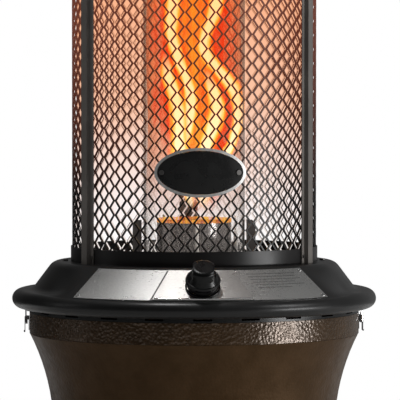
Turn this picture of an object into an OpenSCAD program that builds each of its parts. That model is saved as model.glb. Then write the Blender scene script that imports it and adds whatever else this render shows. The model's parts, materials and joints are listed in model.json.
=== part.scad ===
// Glass tube patio heater: a round base that hides the gas bottle, a burner head that is latched
// on top of it, a glass tube that the flame climbs in, a mesh guard round the tube and a hood over it.
// Millimetres. +Z is up, the floor is z = 0, the tube's axis is the Z axis and the front faces -Y.
// An azimuth is 0 at the front and grows to the right as the front is seen.

/* [Base] */
// Height of the rubber feet
foot_h = 8; // [6:0.5:16]
// Radius of a foot
foot_r = 16; // [10:1:22]
// How far inside the waist the feet stand
foot_inset = 18.5; // [14:0.5:35]
// Radius of the stud of a foot
foot_stud_r = 3; // [2:0.25:5]
// Thickness of the base plate
base_plate_t = 3; // [2:0.5:6]
// How far the base plate reaches past the shell
base_plate_lip = 3; // [1:0.5:6]
// Height of the shell above the base plate
shell_h = 567.5; // [530:0.5:640]
// Outer radius of the shell at its waist
waist_r = 208.5; // [200:0.5:214]
// Drop from the top of the shell to its waist
waist_drop = 176.5; // [165:0.5:200]
// Radius of the arc that flares the shell above the waist
flare_r = 320; // [300:5:380]
// How far the shell flares out from its waist to the base plate
foot_flare = 15; // [8:0.5:22]
// Wall of the shell
shell_t = 1.5; // [1:0.1:2.5]
// Width of the flange inside the shell's foot
shell_flange_w = 16; // [12:0.5:22]
// Height of the band round the top of the shell
band_h = 31; // [26:0.5:40]
// Thickness of the band
band_t = 2; // [1:0.1:3]
// Inner radius of the ring that centres the bottle
bottle_ring_r = 107; // [90:1:125]
// Height of that ring
bottle_ring_h = 15; // [8:1:30]
// Thickness of that ring
bottle_ring_t = 2; // [1:0.5:4]
// Length of a vent slot in the base plate
plate_vent_l = 60; // [30:1:80]
// Width of a vent slot in the base plate
plate_vent_w = 12; // [6:1:20]

/* [Wheels] */
// Radius of a wheel
wheel_r = 24; // [18:1:26]
// Width of a wheel
wheel_w = 22; // [14:1:28]
// Gap under a wheel while the heater stands on its feet
wheel_lift = 3; // [1:0.5:6]
// Radius of the axle
axle_r = 4; // [3:0.25:6]
// Distance between the outsides of the bracket's ears
ear_span = 125; // [100:1:150]
// Thickness of the wheel bracket
bracket_t = 2.5; // [1.5:0.25:4]
// Gap between an ear and its wheel
wheel_side_gap = 0.6; // [0.3:0.1:2]

/* [Latches] */
// Half width of the latch plate
latch_half_w = 8; // [7:0.5:12]
// Thickness of the latch sheet metal
latch_t = 1.2; // [0.8:0.1:2]
// Height of the pivot below the top of the band
latch_pivot_drop = 8.5; // [7:0.5:12]
// Distance of the pivot from the band
latch_pivot_out = 4.7; // [4.5:0.1:7]
// Radius of the pivot pin
latch_pin_r = 1.5; // [1:0.1:2]
// Length of the lever below its pivot
lever_l = 20; // [16:0.5:26]
// Radius of the loop's wire
loop_wire_r = 1; // [0.7:0.05:1.2]
// Drop from the lever's pivot to the loop's ends
loop_drop = 6.5; // [6:0.25:8]
// Gap between the top of the loop and the rim over it
loop_rim_gap = 1; // [0.6:0.1:1.4]

/* [Collar] */
// Drop from the middle of the rim to the seat on the base
rim_over_seat = 21.2; // [20:0.2:26]
// How far the middle of the rim lies outside the skirt
rim_overhang = 13; // [12:0.5:18]
// Radius of the rim's round edge
rim_r = 12.8; // [10:0.1:13.5]
// Height of the rim's middle above the level that head heights are counted from
rim_rise = -1.9; // [-3:0.1:2]
// Height of the collar's top
collar_top = 54; // [50:0.5:60]
// Sheet thickness of the collar
collar_t = 2; // [1.5:0.1:2.5]
// How far inside the skirt the collar's top starts to round over
shoulder_inset = 44; // [42:0.5:46]
// Radius of the rounded shoulder
shoulder_arc = 18; // [14:0.5:20]
// Slope of the collar's wall from the horizontal, in degrees
wall_slope = 53; // [50:0.5:56]
// Radius of the hollow curve from the wall to the brim
brim_arc = 14; // [10:0.5:16]
// Width of the collar's flat top
collar_flat_w = 30; // [26:0.5:36]
// Half angle of the flat control panel at the front, in degrees
panel_half_angle = 46.5; // [45:0.1:50]
// How far past the shoulder the panel starts
panel_start = 2.2; // [1:0.2:4]
// How far past the middle of the rim the panel ends
panel_end = 5; // [2:0.25:6]
// Number of vent slots in the skirt
skirt_vents = 22; // [12:1:28]
// Width of a vent slot in the skirt
skirt_vent_w = 27; // [15:1:32]
// Height of a vent slot in the skirt
skirt_vent_h = 8.5; // [5:0.5:12]
// Thickness of the skirt
skirt_t = 1.6; // [1:0.1:3]
// Length of the spigot that enters the base
spigot_l = 15; // [8:1:25]
// Clearance between the spigot and the base
spigot_gap = 1; // [0.5:0.1:3]
// Thickness of the deck plate
deck_t = 1.2; // [0.8:0.1:2]
// Distance of the deck plate's edge from the shoulder
deck_inset = 4.5; // [3:0.5:6]
// Distance of the collar's screws from the shoulder
screw_inset = 9; // [8:0.5:11]

/* [Control panel] */
// Thickness of the panel plate
plate_t = 0.8; // [0.5:0.1:1.5]
// Half angle of the panel plate, in degrees
plate_half_angle = 44.3; // [40:0.1:45]
// Distance of the plate from the panel's upper edge
plate_start = 6; // [2:0.5:8]
// Distance of the plate from the panel's lower edge
plate_end = 2; // [1.6:0.2:8]
// Thickness of the raised control plate
control_plate_t = 1.2; // [0.8:0.1:2]
// Half width of the control plate at its upper edge
control_top_w = 48; // [42:1:54]
// Half width of the control plate at its lower edge
control_low_w = 77; // [70:1:85]
// Place of the knob, as a part of the panel's length down the slope
knob_place = 0.62; // [0.56:0.002:0.64]
// Radius of the knob at its widest
knob_r = 25; // [23:0.5:26]
// Radius of the knob's foot
knob_foot_r = 22; // [20:0.5:22.5]
// Height of the knob's top above the panel
knob_top = 41; // [36:0.5:43]
// Width of the knob's grip
grip_w = 30; // [22:1:34]
// Travel of the knob when it is pushed
knob_travel = 4; // [2:0.5:4.5]
// Height of the bezel round the knob's foot
bezel_h = 3.5; // [2:0.5:4]
// Wall of the bezel
bezel_t = 2.2; // [1:0.2:3]

/* [Gas] */
// Radius of the valve's body
valve_r = 13; // [11:0.25:14]
// Length of the valve's body
valve_l = 40; // [36:1:46]
// Radius of the valve's plug
plug_r = 6.5; // [5.5:0.25:7]
// Radius of the valve's stem
stem_r = 3.5; // [2.5:0.25:4]
// Radius of the gas inlet
inlet_r = 4.5; // [3:0.25:6]
// Length of the gas inlet
inlet_l = 20; // [12:1:30]
// Outer radius of the gas pipe
pipe_r = 4; // [3:0.25:5]
// Wall of the gas pipe
pipe_t = 1; // [0.6:0.1:1.5]
// Radius of the bend in the gas pipe
pipe_bend_r = 20; // [15:1:24]
// Radius of the jet
jet_r = 8; // [7:0.5:10]
// Length of the jet's body
jet_l = 15; // [12:0.5:17]
// Outer radius of the mixing tube
mixer_r = 12; // [11:0.5:16]
// Wall of the mixing tube
mixer_t = 1.5; // [1:0.1:2.5]
// Radius of the burner head
burner_r = 48; // [40:1:49]
// Height of the burner head
burner_h = 14; // [10:1:16]
// Height of the burner head above the deck
burner_rise = 44; // [40:1:46]
// Number of flame ports
burner_ports = 24; // [12:1:30]

/* [Glass] */
// Outer radius of the glass tube
glass_r = 75; // [70:0.5:80]
// Wall of the glass tube
glass_t = 3; // [2:0.25:5]
// Outer radius of the burner drum
drum_r = 55; // [50:0.5:60]
// Height of the burner drum
drum_h = 60; // [56:1:70]
// Sheet thickness of the drum, the seat and its brackets
seat_t = 1.5; // [1:0.1:2]
// Height of the seat's rim
seat_rim_h = 8; // [5:0.5:12]
// Clearance between the glass and the rings that centre it
glass_gap = 0.8; // [0.4:0.1:0.9]
// Thickness of the gasket under the glass
gasket_t = 2; // [1:0.25:4]
// Width of a guide outside the glass
seat_bracket_w = 20; // [14:1:26]
// Height of that guide
bracket_h = 62; // [40:1:80]
// Distance between the top of the glass and the top plate
glass_top_gap = 9; // [5:0.5:14]
// Depth of the ring that holds the top of the glass
top_ring_h = 31; // [20:1:40]

/* [Guard] */
// Height of the guard above the collar
guard_h = 527; // [480:0.5:560]
// How far inside the shoulder the mesh stands
mesh_inset = 20; // [19:0.25:22]
// Thickness of the mesh
mesh_t = 1.8; // [1.2:0.1:2]
// Width of a strand of the mesh
strand_w = 2.1; // [1.6:0.1:3]
// Number of diamonds round the guard, a multiple of three
mesh_count = 51; // [45:3:60]
// Height of a diamond
diamond_h = 20.8; // [18:0.1:24]
// Height of a guard ring
ring_h = 22; // [16:0.5:26]
// Thickness of a guard ring
ring_t = 1.6; // [1:0.1:2]
// Width of a post
post_w = 30; // [26:0.5:34]
// Width of a post's rib
rib_w = 15; // [11:0.5:17]
// Height of a post's rib
rib_h = 6.4; // [4:0.2:7]
// Sheet thickness of a post
post_t = 1.2; // [0.8:0.1:2]
// Azimuth of the two front posts, in degrees
post_angle = 60; // [60:60:60]

/* [Badge] */
// Half diamonds that the oval badge is wide
badge_columns = 11.9; // [11:0.1:12.5]
// Diamonds that the oval badge is high
badge_rows = 3.41; // [3:0.01:3.7]
// Width of the badge's bright frame
badge_frame_w = 4; // [3:0.25:6]
// Thickness of the badge's face
badge_t = 1.6; // [1:0.1:2.5]
// How far the frame stands proud of the face
badge_proud = 0.8; // [0.4:0.1:1.5]
// Diamond heights between the collar and the badge's middle
badge_row = 6.5; // [5.5:1:8.5]
// Half diamonds from the badge's middle to a screw
badge_column = 5; // [3:2:5]
// Half height of the strip behind the mesh
backing_half_h = 6; // [4:0.5:9]

/* [Hood] */
// Thickness of the top plate
top_plate_t = 2; // [1.5:0.1:4]
// How far the top plate reaches past the posts
top_plate_lip = 2; // [1:0.5:6]
// Height of the posts that carry the hood
standoff_h = 78; // [60:1:100]
// Radius of those posts
standoff_r = 6; // [4:0.5:9]
// Distance of those posts from the top plate's edge
standoff_inset = 44; // [36:1:50]
// Distance of the hood's dome from those posts
dome_inset = 28; // [24:1:34]
// Height of the hood's dome
dome_h = 36; // [25:1:45]
// Distance from the top plate's edge to where the hood turns down
hood_inset = 10; // [4:0.5:16]
// Radius of the hood's turned edge
hood_edge_arc = 24; // [16:1:30]
// Sheet thickness of the hood
hood_t = 1.5; // [1:0.1:2]

/* [Fits] */
// Clearance between nested pieces of one assembly
fit_gap = 0.2; // [0.1:0.05:0.3]
// Radial clearance of a turning fit
run_gap = 0.05; // [0.02:0.01:0.1]
// Clearance between the head and the base that carries it
rest_gap = 0.3; // [0.2:0.05:0.5]
// Clearance of a screw or rivet in its hole
hole_gap = 0.2; // [0.1:0.05:0.4]
// Gap between two strands of the mesh where they are welded
weld_gap = 0.1; // [0.05:0.01:0.15]
// Gap between two sheets that lie on each other
sheet_gap = 0.05; // [0.02:0.01:0.1]

/* [Hidden] */
$fn = 96;

// Colours
black_paint = [0.10, 0.10, 0.10];
bronze_paint = [0.22, 0.17, 0.12];
steel = [0.70, 0.70, 0.69];
dark_steel = [0.35, 0.34, 0.33];
brass = [0.72, 0.58, 0.30];
rubber_black = [0.06, 0.06, 0.06];
clear_glass = [0.80, 0.88, 0.90, 0.35];

// Overlap that lets a cut pass right through a wall
cut = 1;
// Far reach of the wedges and slabs that trim an outline
reach = 900;

// Heights of the base
plate_top = foot_h + base_plate_t;
shell_top = plate_top + shell_h;
waist_z = shell_top - waist_drop;

// Shell outline
shell_foot_r = waist_r + foot_flare;
foot_drop = waist_z - plate_top;
foot_arc_r = (foot_drop * foot_drop + foot_flare * foot_flare) / (2 * foot_flare);
band_under_gap = 0.5;
step_z = shell_top - band_h - band_under_gap;
step_rise = step_z - waist_z;
step_r = waist_r + flare_r - sqrt(flare_r * flare_r - step_rise * step_rise);
band_proud = 0.5;
band_r = step_r + band_proud;
neck_r = band_r - band_t - fit_gap;
base_plate_r = shell_foot_r + base_plate_lip;
foot_circle_r = waist_r - foot_inset;
foot_count = 4;
plate_vent_count = 6;
plate_vent_circle = 150;

// Wheels
ear_w = 16;
ear_x = ear_span / 2;
wheel_in_x = ear_x + wheel_side_gap;
wheel_back_gap = 2.5;
ear_in_x = ear_x - bracket_t;
axle_y = sqrt(base_plate_r * base_plate_r - ear_in_x * ear_in_x) + wheel_back_gap + wheel_r;
axle_z = wheel_r + wheel_lift;
axle_cap_r = axle_r + 3.5;
axle_cap_t = 4;
axle_end_x = wheel_in_x + wheel_w + wheel_side_gap + axle_cap_t;
bracket_l = 60;
hub_r = axle_r + 5;
tyre_round = 5;
wheel_dish = 3;

// Head level and what is counted from it
rim_z = shell_top + rest_gap + rim_over_seat;
collar_top_z = rim_z + collar_top;
deck_top_z = collar_top_z - collar_t - sheet_gap;
skirt_r = band_r - fit_gap;
rim_circle_r = skirt_r + rim_overhang;
shoulder_r = skirt_r - shoulder_inset;
collar_inner_r = shoulder_r - collar_flat_w;
deck_r = shoulder_r - deck_inset;
collar_screw_circle = shoulder_r - screw_inset;
brim_top = rim_rise + rim_r;
brim_inner_r = rim_circle_r - rim_r - 8;
wall_n = [sin(wall_slope), cos(wall_slope)];
shoulder_c = [shoulder_r, collar_top - shoulder_arc];
wall_top = shoulder_c + shoulder_arc * wall_n;
brim_c_z = brim_top + brim_arc;
brim_c = [wall_top[0] + (brim_arc - wall_n[1] * (brim_c_z - wall_top[1])) / wall_n[0], brim_c_z];
wall_low = brim_c - brim_arc * wall_n;
skirt_top = brim_top - collar_t;
skirt_low = -rim_over_seat;
spigot_r = neck_r - shell_t - spigot_gap;
collar_screw_angles = [90, 150, 210, 270];
collar_screw_r = 2;
collar_screw_head_r = 4;
collar_screw_head_h = 2.2;
cheek_angle = 0.8;
cheek_drop = 0.4;
side_from = panel_half_angle - 0.35 * cheek_angle;
panel_to = panel_half_angle - 0.65 * cheek_angle;
wall_run = [cos(wall_slope), -sin(wall_slope)];

// Control panel: s runs down the slope from its upper edge and h stands off its surface
panel_top_r = shoulder_r + panel_start;
panel_low_r = rim_circle_r + panel_end;
panel_run = panel_low_r - panel_top_r;
panel_proud = 0.2;
panel_low_z = rim_rise + sqrt(rim_r * rim_r - panel_end * panel_end) + panel_proud;
panel_fall = collar_top - panel_low_z;
panel_slope = atan2(panel_fall, panel_run);
panel_l = norm([panel_run, panel_fall]);
function panel_point(s, h) = [
    panel_top_r + s * cos(panel_slope) + h * sin(panel_slope),
    collar_top - s * sin(panel_slope) + h * cos(panel_slope)
];
plate_l = panel_l - plate_start - plate_end;
knob_s = knob_place * panel_l;
panel_gap = 0.1;
plate_top_h = panel_gap + plate_t;
control_top = plate_top_h + control_plate_t;
knob_play = 0.6;
knob_foot = control_top + knob_travel + knob_play;
bezel_in_r = knob_foot_r + 0.8;
knob_flare_h = knob_foot + bezel_h + 1;
knob_wide_h = knob_flare_h + 5;
skirt_top_h = knob_wide_h + 3;
knob_dome_r = 19.5;
knob_shoulder_h = 8;
knob_round = 7;
marker_w = 2.4;
marker_h = 0.6;
stem_top = knob_top - 9;
stem_low = -28;
stem_hole_r = stem_r + 3;
rivet_r = 1.5;
rivet_head_r = 2.6;
rivet_head_h = 0.9;
rivet_edge = 2.5;

// Valve: heights along the knob's axis, below the panel
neck_len = 16;
neck_top = -collar_t - 0.3;
valve_top = neck_top - neck_len;
valve_low = valve_top - valve_l;
valve_neck_r = plug_r + 3;
valve_gap = 1;
plug_top = neck_top - 3;
plug_floor = valve_low + 6;
plug_bore_low = stem_low - knob_travel - 3;
stem_flat = 0.7;
outlet_h = valve_low + 12;
outlet = panel_point(knob_s, outlet_h);
outlet_start = (plug_r + 3) / cos(panel_slope);

// Gas line and burner
pipe_z = rim_z + outlet[1];
bend_top_z = pipe_z + pipe_bend_r;
jet_socket = 8;
jet_z = bend_top_z + 0.5;
pipe_tail = jet_socket;
jet_nose_r = 4;
jet_nose_l = 6;
mixer_z = jet_z + jet_l;
mixer_cap_t = 2;
mixer_flange_r = mixer_r + 9;
mixer_flange_t = 2;
mixer_window_h = 10;
burner_z = deck_top_z + burner_rise;
burner_t = 1.5;
burner_port_r = 2;
burner_port_circle = burner_r - 9;

// Glass and its seat
drum_top_z = deck_top_z + drum_h;
seat_z = deck_top_z + seat_t;
seat_rim_r = glass_r + glass_gap;
seat_inner_r = glass_r - glass_t - 3;
glass_low_z = seat_z + gasket_t;
bracket_wall_r = seat_rim_r + seat_t + 0.8;
bracket_depth = 13;
bracket_chamfer = 5;
bracket_angles = [90, 180, 270];
guard_top_z = collar_top_z + guard_h;
glass_top_z = guard_top_z - glass_top_gap;
rod_circle = (drum_r + seat_inner_r) / 2;
rod_r = 1.6;
rod_sleeve_r = 3;
rod_over = 8;

// Guard
mesh_r = shoulder_r - mesh_inset;
ring_r = mesh_r + mesh_t / 2 + fit_gap + 0.2;
ring_out_r = ring_r + ring_t;
post_r = ring_out_r + fit_gap;
mesh_step = 360 / (2 * mesh_count);
front_strands = 2 * mesh_count / 3;
mesh_z = collar_top_z + fit_gap;
mesh_h = guard_h - 2 * fit_gap;
half_rows = floor(2 * mesh_h / diamond_h);
post_screw_r = 1.5;
post_screw_head_r = 2.6;
post_screw_head_h = 1.8;
post_screw_u = (rib_w + post_w) / 4;

// Badge
badge_w = badge_columns * 2 * mesh_r * tan(mesh_step / 2);
badge_h = badge_rows * diamond_h;
badge_z = mesh_z + badge_row * diamond_h;
badge_r = mesh_r + mesh_t / 2 + fit_gap + 0.1;
badge_face_r = badge_r + badge_t;
badge_gap = 0.15;
badge_screw_angle = badge_column * mesh_step;
badge_screw_r = 1.6;
badge_screw_head_r = 3.6;
badge_screw_head_h = 1.5;
backing_r = mesh_r - mesh_t / 2 - fit_gap;
backing_t = 3;
backing_half_angle = badge_screw_angle + 3;
oval_steps = 72;

// Hood
top_plate_r = post_r + post_t + rib_h + top_plate_lip;
standoff_circle = top_plate_r - standoff_inset;
dome_r = standoff_circle - dome_inset;
hood_turn_r = top_plate_r - hood_inset;
top_plate_z = guard_top_z;
standoff_z = top_plate_z + top_plate_t;
hood_z = standoff_z + standoff_h;
dome_arc_r = (dome_r * dome_r + dome_h * dome_h) / (2 * dome_h);
standoff_count = 4;
standoff_first = 45;
hood_stud_r = 3;
nut_r = 6;
nut_h = 5;
nut_dome_r = 5;
exhaust_r = glass_r - glass_t;

// Latches, drawn on the right and mirrored to the left
latch_gap = 0.1;
latch_x = band_r + latch_gap;
latch_z = shell_top - latch_pivot_drop;
latch_px = band_r + latch_pivot_out;
latch_eye_r = latch_pin_r + 1.1;
ear_out = latch_half_w - latch_t;
cheek_out = ear_out - fit_gap;
loop_half_w = latch_half_w + 2;
loop_x = latch_px + 0.6;
loop_z = latch_z - loop_drop;
loop_l = rim_z + rim_rise - rim_r - loop_rim_gap - loop_wire_r - loop_z;
keeper_half_w = 6;
keeper_top = 12;
keeper_lip_out = loop_x - loop_wire_r - 0.4;
keeper_lip_z = loop_z + loop_l - loop_wire_r - 0.5;
keeper_lip_h = 2;

// A ring about the Z axis
module ring(r_in, r_out, z_low, z_high) {
    rotate_extrude() translate([r_in, z_low]) square([r_out - r_in, z_high - z_low]);
}

// A sector of a ring, centred on the front
module ring_sector(r_in, r_out, z_low, z_high, half_angle) {
    front_sector(half_angle) translate([r_in, z_low]) square([r_out - r_in, z_high - z_low]);
}

// Revolves an outline through a sector that is centred on the front
module front_sector(half_angle) {
    rotate([0, 0, -90 - half_angle]) rotate_extrude(angle = 2 * half_angle) children();
}

// Turns what is drawn at the front to an azimuth
module at_azimuth(a) {
    rotate([0, 0, a]) children();
}

// A cylinder that runs outwards, at the front, from one radius to another
module radial_pin(r, from, to, z) {
    translate([0, -from, z]) rotate([90, 0, 0]) cylinder(r = r, h = to - from);
}

// Part of a round strip of sheet: r_a and r_b are its radii, and it is kept between two angles
module arc_strip(c, r_a, r_b, a_from, a_to) {
    far = 2 * max(r_a, r_b);
    translate(c) intersection() {
        difference() {
            circle(r = max(r_a, r_b));
            circle(r = min(r_a, r_b));
        }
        polygon([
            [0, 0],
            far * [cos(a_from), sin(a_from)],
            2 * far * [cos((a_from + a_to) / 2), sin((a_from + a_to) / 2)],
            far * [cos(a_to), sin(a_to)]
        ]);
    }
}

// A straight strip of sheet from p to q, with its thickness to the right of that direction
module straight_strip(p, q, t) {
    d = (q - p) / norm(q - p);
    right = [d[1], -d[0]];
    polygon([p, q, q + t * right, p + t * right]);
}

// Frame of the control panel at distance s down its slope: +Z stands off the panel
module on_panel(s, a = 0) {
    p = panel_point(s, 0);
    at_azimuth(a) translate([0, -p[0], rim_z + p[1]]) rotate([panel_slope, 0, 0]) children();
}

// Base
module feet() {
    color(rubber_black) for (i = [0 : foot_count - 1]) at_azimuth(45 + i * 360 / foot_count)
        translate([0, -foot_circle_r, 0]) {
            cylinder(r = foot_r, h = foot_h);
            cylinder(r = foot_stud_r, h = plate_top + 2);
        }
}

module base_plate() {
    color(black_paint) difference() {
        translate([0, 0, foot_h]) cylinder(r = base_plate_r, h = base_plate_t);
        for (i = [0 : foot_count - 1]) at_azimuth(45 + i * 360 / foot_count)
            translate([0, -foot_circle_r, foot_h - cut])
                cylinder(r = foot_stud_r + hole_gap, h = base_plate_t + 2 * cut);
        for (i = [0 : plate_vent_count - 1]) at_azimuth(i * 360 / plate_vent_count)
            translate([-plate_vent_l / 2, -plate_vent_circle - plate_vent_w / 2, foot_h - cut])
                cube([plate_vent_l, plate_vent_w, base_plate_t + 2 * cut]);
    }
}

module bottle_ring() {
    color(black_paint) {
        ring(bottle_ring_r, bottle_ring_r + bottle_ring_t, plate_top, plate_top + bottle_ring_h);
        ring(bottle_ring_r, bottle_ring_r + 10, plate_top, plate_top + bottle_ring_t);
    }
}

// Outline of the shell's wall: two arcs that meet at the waist, then the neck inside the band
module shell_outline() {
    intersection() {
        arc_strip([waist_r + flare_r, waist_z], flare_r, flare_r + shell_t, 90, 270);
        translate([0, waist_z]) square([reach, step_rise]);
    }
    intersection() {
        arc_strip([waist_r + foot_arc_r, waist_z], foot_arc_r, foot_arc_r + shell_t, 175, 185);
        translate([0, plate_top]) square([reach, foot_drop]);
    }
    translate([neck_r - shell_t, step_z - shell_t]) square([shell_t, shell_top - step_z + shell_t]);
    translate([neck_r - shell_t, step_z - shell_t]) square([step_r - neck_r, shell_t]);
    translate([shell_foot_r - shell_t - shell_flange_w, plate_top])
        square([shell_flange_w + shell_t / 2, shell_t]);
}

module base_shell() {
    color(bronze_paint) rotate_extrude() shell_outline();
}

module base_band() {
    color(bronze_paint) ring(neck_r + fit_gap, band_r, shell_top - band_h, shell_top);
}

// Wheels
module axle_shape(r, x_half) {
    translate([-x_half, axle_y, axle_z]) rotate([0, 90, 0]) cylinder(r = r, h = 2 * x_half);
}

module wheel_bracket() {
    bracket_back = axle_y + ear_w / 2;
    bracket_z = foot_h - bracket_t;
    ear_front = axle_y - wheel_r;
    color(black_paint) difference() {
        union() {
            translate([-ear_x, base_plate_r - bracket_l, bracket_z])
                cube([ear_span, bracket_back - base_plate_r + bracket_l, bracket_t]);
            for (x = [-ear_x, ear_x - bracket_t]) translate([x, ear_front, bracket_z])
                cube([bracket_t, bracket_back - ear_front, axle_z + ear_w / 2 - bracket_z]);
        }
        axle_shape(axle_r + run_gap, ear_x + cut);
    }
}

module wheel_axle() {
    color(steel) axle_shape(axle_r, axle_end_x);
}

module axle_caps() {
    color(rubber_black) for (side = [-1, 1]) translate([side * (axle_end_x - axle_cap_t / 2), axle_y, axle_z])
        rotate([0, 90, 0]) difference() {
            cylinder(r = axle_cap_r, h = axle_cap_t, center = true);
            cylinder(r = axle_r + run_gap, h = axle_cap_t + 2 * cut, center = true);
        }
}

// A dished wheel with a rounded tread, turned about the axle
module wheel(side) {
    color(rubber_black) translate([side * (wheel_in_x + wheel_w / 2), axle_y, axle_z]) rotate([0, 90, 0])
        rotate_extrude() difference() {
            union() {
                translate([axle_r + run_gap, -wheel_w / 2])
                    square([wheel_r - tyre_round - axle_r - run_gap, wheel_w]);
                translate([axle_r + run_gap, -wheel_w / 2 + tyre_round])
                    square([wheel_r - axle_r - run_gap, wheel_w - 2 * tyre_round]);
                for (v = [-1, 1]) translate([wheel_r - tyre_round, v * (wheel_w / 2 - tyre_round)])
                    circle(r = tyre_round);
            }
            for (v = [-1, 1]) translate([hub_r, v * wheel_w / 2 - wheel_dish])
                square([wheel_r - 2 * tyre_round - hub_r + 3, 2 * wheel_dish]);
        }
}

module wheel_left() {
    wheel(-1);
}

module wheel_right() {
    wheel(1);
}

// Latches
module on_side(side) {
    mirror([side < 0 ? 1 : 0, 0, 0]) children();
}

module cross_pin(r, half_l, x, z) {
    translate([x, half_l, z]) rotate([90, 0, 0]) cylinder(r = r, h = 2 * half_l);
}

module latch_plates() {
    below = lever_l - 2;
    color(steel) for (side = [-1, 1]) on_side(side) difference() {
        union() {
            translate([latch_x, -latch_half_w, latch_z - below])
                cube([latch_t, 2 * latch_half_w, below + latch_eye_r]);
            for (y = [-latch_half_w, ear_out]) {
                translate([latch_x, y, latch_z - latch_eye_r])
                    cube([latch_px - latch_x, latch_t, 2 * latch_eye_r]);
                translate([latch_px, y + latch_t, latch_z]) rotate([90, 0, 0])
                    cylinder(r = latch_eye_r, h = latch_t);
            }
        }
        cross_pin(latch_pin_r + run_gap, latch_half_w + cut, latch_px, latch_z);
    }
}

module latch_pins() {
    color(steel) for (side = [-1, 1]) on_side(side)
        cross_pin(latch_pin_r, latch_half_w + 0.8, latch_px, latch_z);
}

// The lever closed: two cheeks on the pin, a thumb plate and a curled end
module latch_lever(side) {
    thumb_in = latch_px + latch_eye_r - latch_t;
    cheek_low = latch_z - loop_drop - loop_wire_r - 1.2;
    color(steel) on_side(side) difference() {
        union() {
            for (y = [-cheek_out, cheek_out - latch_t]) {
                translate([latch_px, y + latch_t, latch_z]) rotate([90, 0, 0])
                    cylinder(r = latch_eye_r, h = latch_t);
                translate([latch_px - latch_eye_r + 0.6, y, cheek_low])
                    cube([2 * latch_eye_r - 0.6, latch_t, latch_z - cheek_low]);
            }
            translate([thumb_in, -cheek_out, latch_z - lever_l])
                cube([latch_t, 2 * cheek_out, lever_l]);
            cross_pin(latch_t, cheek_out, thumb_in + latch_t, latch_z - lever_l);
        }
        cross_pin(latch_pin_r + run_gap, cheek_out + cut, latch_px, latch_z);
        cross_pin(loop_wire_r + run_gap, cheek_out + cut, loop_x, loop_z);
    }
}

module latch_lever_left() {
    latch_lever(-1);
}

module latch_lever_right() {
    latch_lever(1);
}

// The wire loop, standing just outside the keeper
module latch_loop(side) {
    loop_top = loop_z + loop_l;
    color(steel) on_side(side) {
        for (y = [-loop_half_w, loop_half_w]) {
            translate([loop_x, y, loop_z]) cylinder(r = loop_wire_r, h = loop_l);
            translate([loop_x, y, loop_z]) sphere(r = loop_wire_r);
            translate([loop_x, y, loop_top]) sphere(r = loop_wire_r);
        }
        for (end = [-1, 1]) translate([loop_x, end * loop_half_w, loop_z]) rotate([end * 90, 0, 0])
            cylinder(r = loop_wire_r, h = loop_half_w - cheek_out + latch_t);
        cross_pin(loop_wire_r, loop_half_w, loop_x, loop_top);
    }
}

module latch_loop_left() {
    latch_loop(-1);
}

module latch_loop_right() {
    latch_loop(1);
}

// Hooks on the skirt that the loops pull down on
module latch_keepers() {
    keeper_x = skirt_r + latch_gap;
    keeper_low = rim_z + skirt_low + 0.5;
    color(steel) for (side = [-1, 1]) on_side(side) {
        translate([keeper_x, -keeper_half_w, keeper_low]) cube([latch_t, 2 * keeper_half_w, keeper_top]);
        translate([keeper_x, -keeper_half_w, keeper_lip_z - keeper_lip_h])
            cube([keeper_lip_out - keeper_x, 2 * keeper_half_w, latch_t]);
        translate([keeper_lip_out - latch_t, -keeper_half_w, keeper_lip_z - keeper_lip_h])
            cube([latch_t, 2 * keeper_half_w, keeper_lip_h]);
    }
}

// Collar
module collar_top_strip(r_out) {
    translate([collar_inner_r, collar_top - collar_t]) square([r_out - collar_inner_r, collar_t]);
}

// The brim under the panel and the rolled rim, open on its inner lower side
module rim_outline() {
    translate([brim_inner_r, brim_top - collar_t]) square([rim_circle_r - brim_inner_r, collar_t]);
    translate([rim_circle_r, rim_rise]) difference() {
        circle(r = rim_r);
        circle(r = rim_r - collar_t);
        translate([-rim_r - cut, -rim_r / 2]) square([rim_r + cut, rim_r / 2]);
        translate([-rim_r - cut, -rim_r / 2]) square([rim_r / 2, rim_r + cut]);
    }
}

// Revolves an outline round the sides and the back, as far as the panel
module side_sector() {
    rotate([0, 0, side_from - 90]) rotate_extrude(angle = 360 - 2 * side_from) children();
}

// Each strip of the sheet is revolved by itself; the lowest one ends just inside the rim's flat
module collar_sides() {
    rotate_extrude() collar_top_strip(shoulder_r);
    side_sector() arc_strip(shoulder_c, shoulder_arc, shoulder_arc - collar_t, 90 - wall_slope, 90);
    side_sector() straight_strip(wall_top, wall_low, collar_t);
    side_sector() arc_strip(brim_c, brim_arc, brim_arc + collar_t, 270 - wall_slope, 260);
}

// The sheet of the panel starts inside the flat top and ends inside the rim
module collar_panel_outline() {
    polygon([
        [shoulder_r - collar_t, collar_top - collar_t / 2], panel_point(0, 0),
        panel_point(panel_l, 0), panel_point(panel_l, -collar_t),
        [panel_top_r - collar_t * tan(panel_slope / 2), collar_top - collar_t]
    ]);
}

// Closes the step between the panel and the wall; its edges run inside the two sheets
module cheek_outline() {
    mid = collar_t / 2;
    deep = 2 * collar_t;
    bend = 0.66 * wall_slope;
    leaves_wall = 0.31 * panel_l;
    leaves_panel = 0.18 * panel_l;
    polygon([
        [shoulder_r + mid, collar_top - mid],
        shoulder_c + (shoulder_arc - mid) * [sin(bend), cos(bend)],
        wall_top + 2.5 * collar_t * wall_run - mid * wall_n,
        panel_point(leaves_wall, -cheek_drop),
        panel_point(panel_l - collar_t, -cheek_drop - 0.4 * collar_t),
        [rim_circle_r, brim_top - mid],
        [brim_c[0] - 2 * deep, brim_top - mid],
        wall_low - deep * wall_n,
        wall_top + 3 * deep * wall_run - deep * wall_n,
        panel_point(leaves_panel, -mid),
        panel_point(0.04 * panel_l, -mid)
    ]);
}

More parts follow.
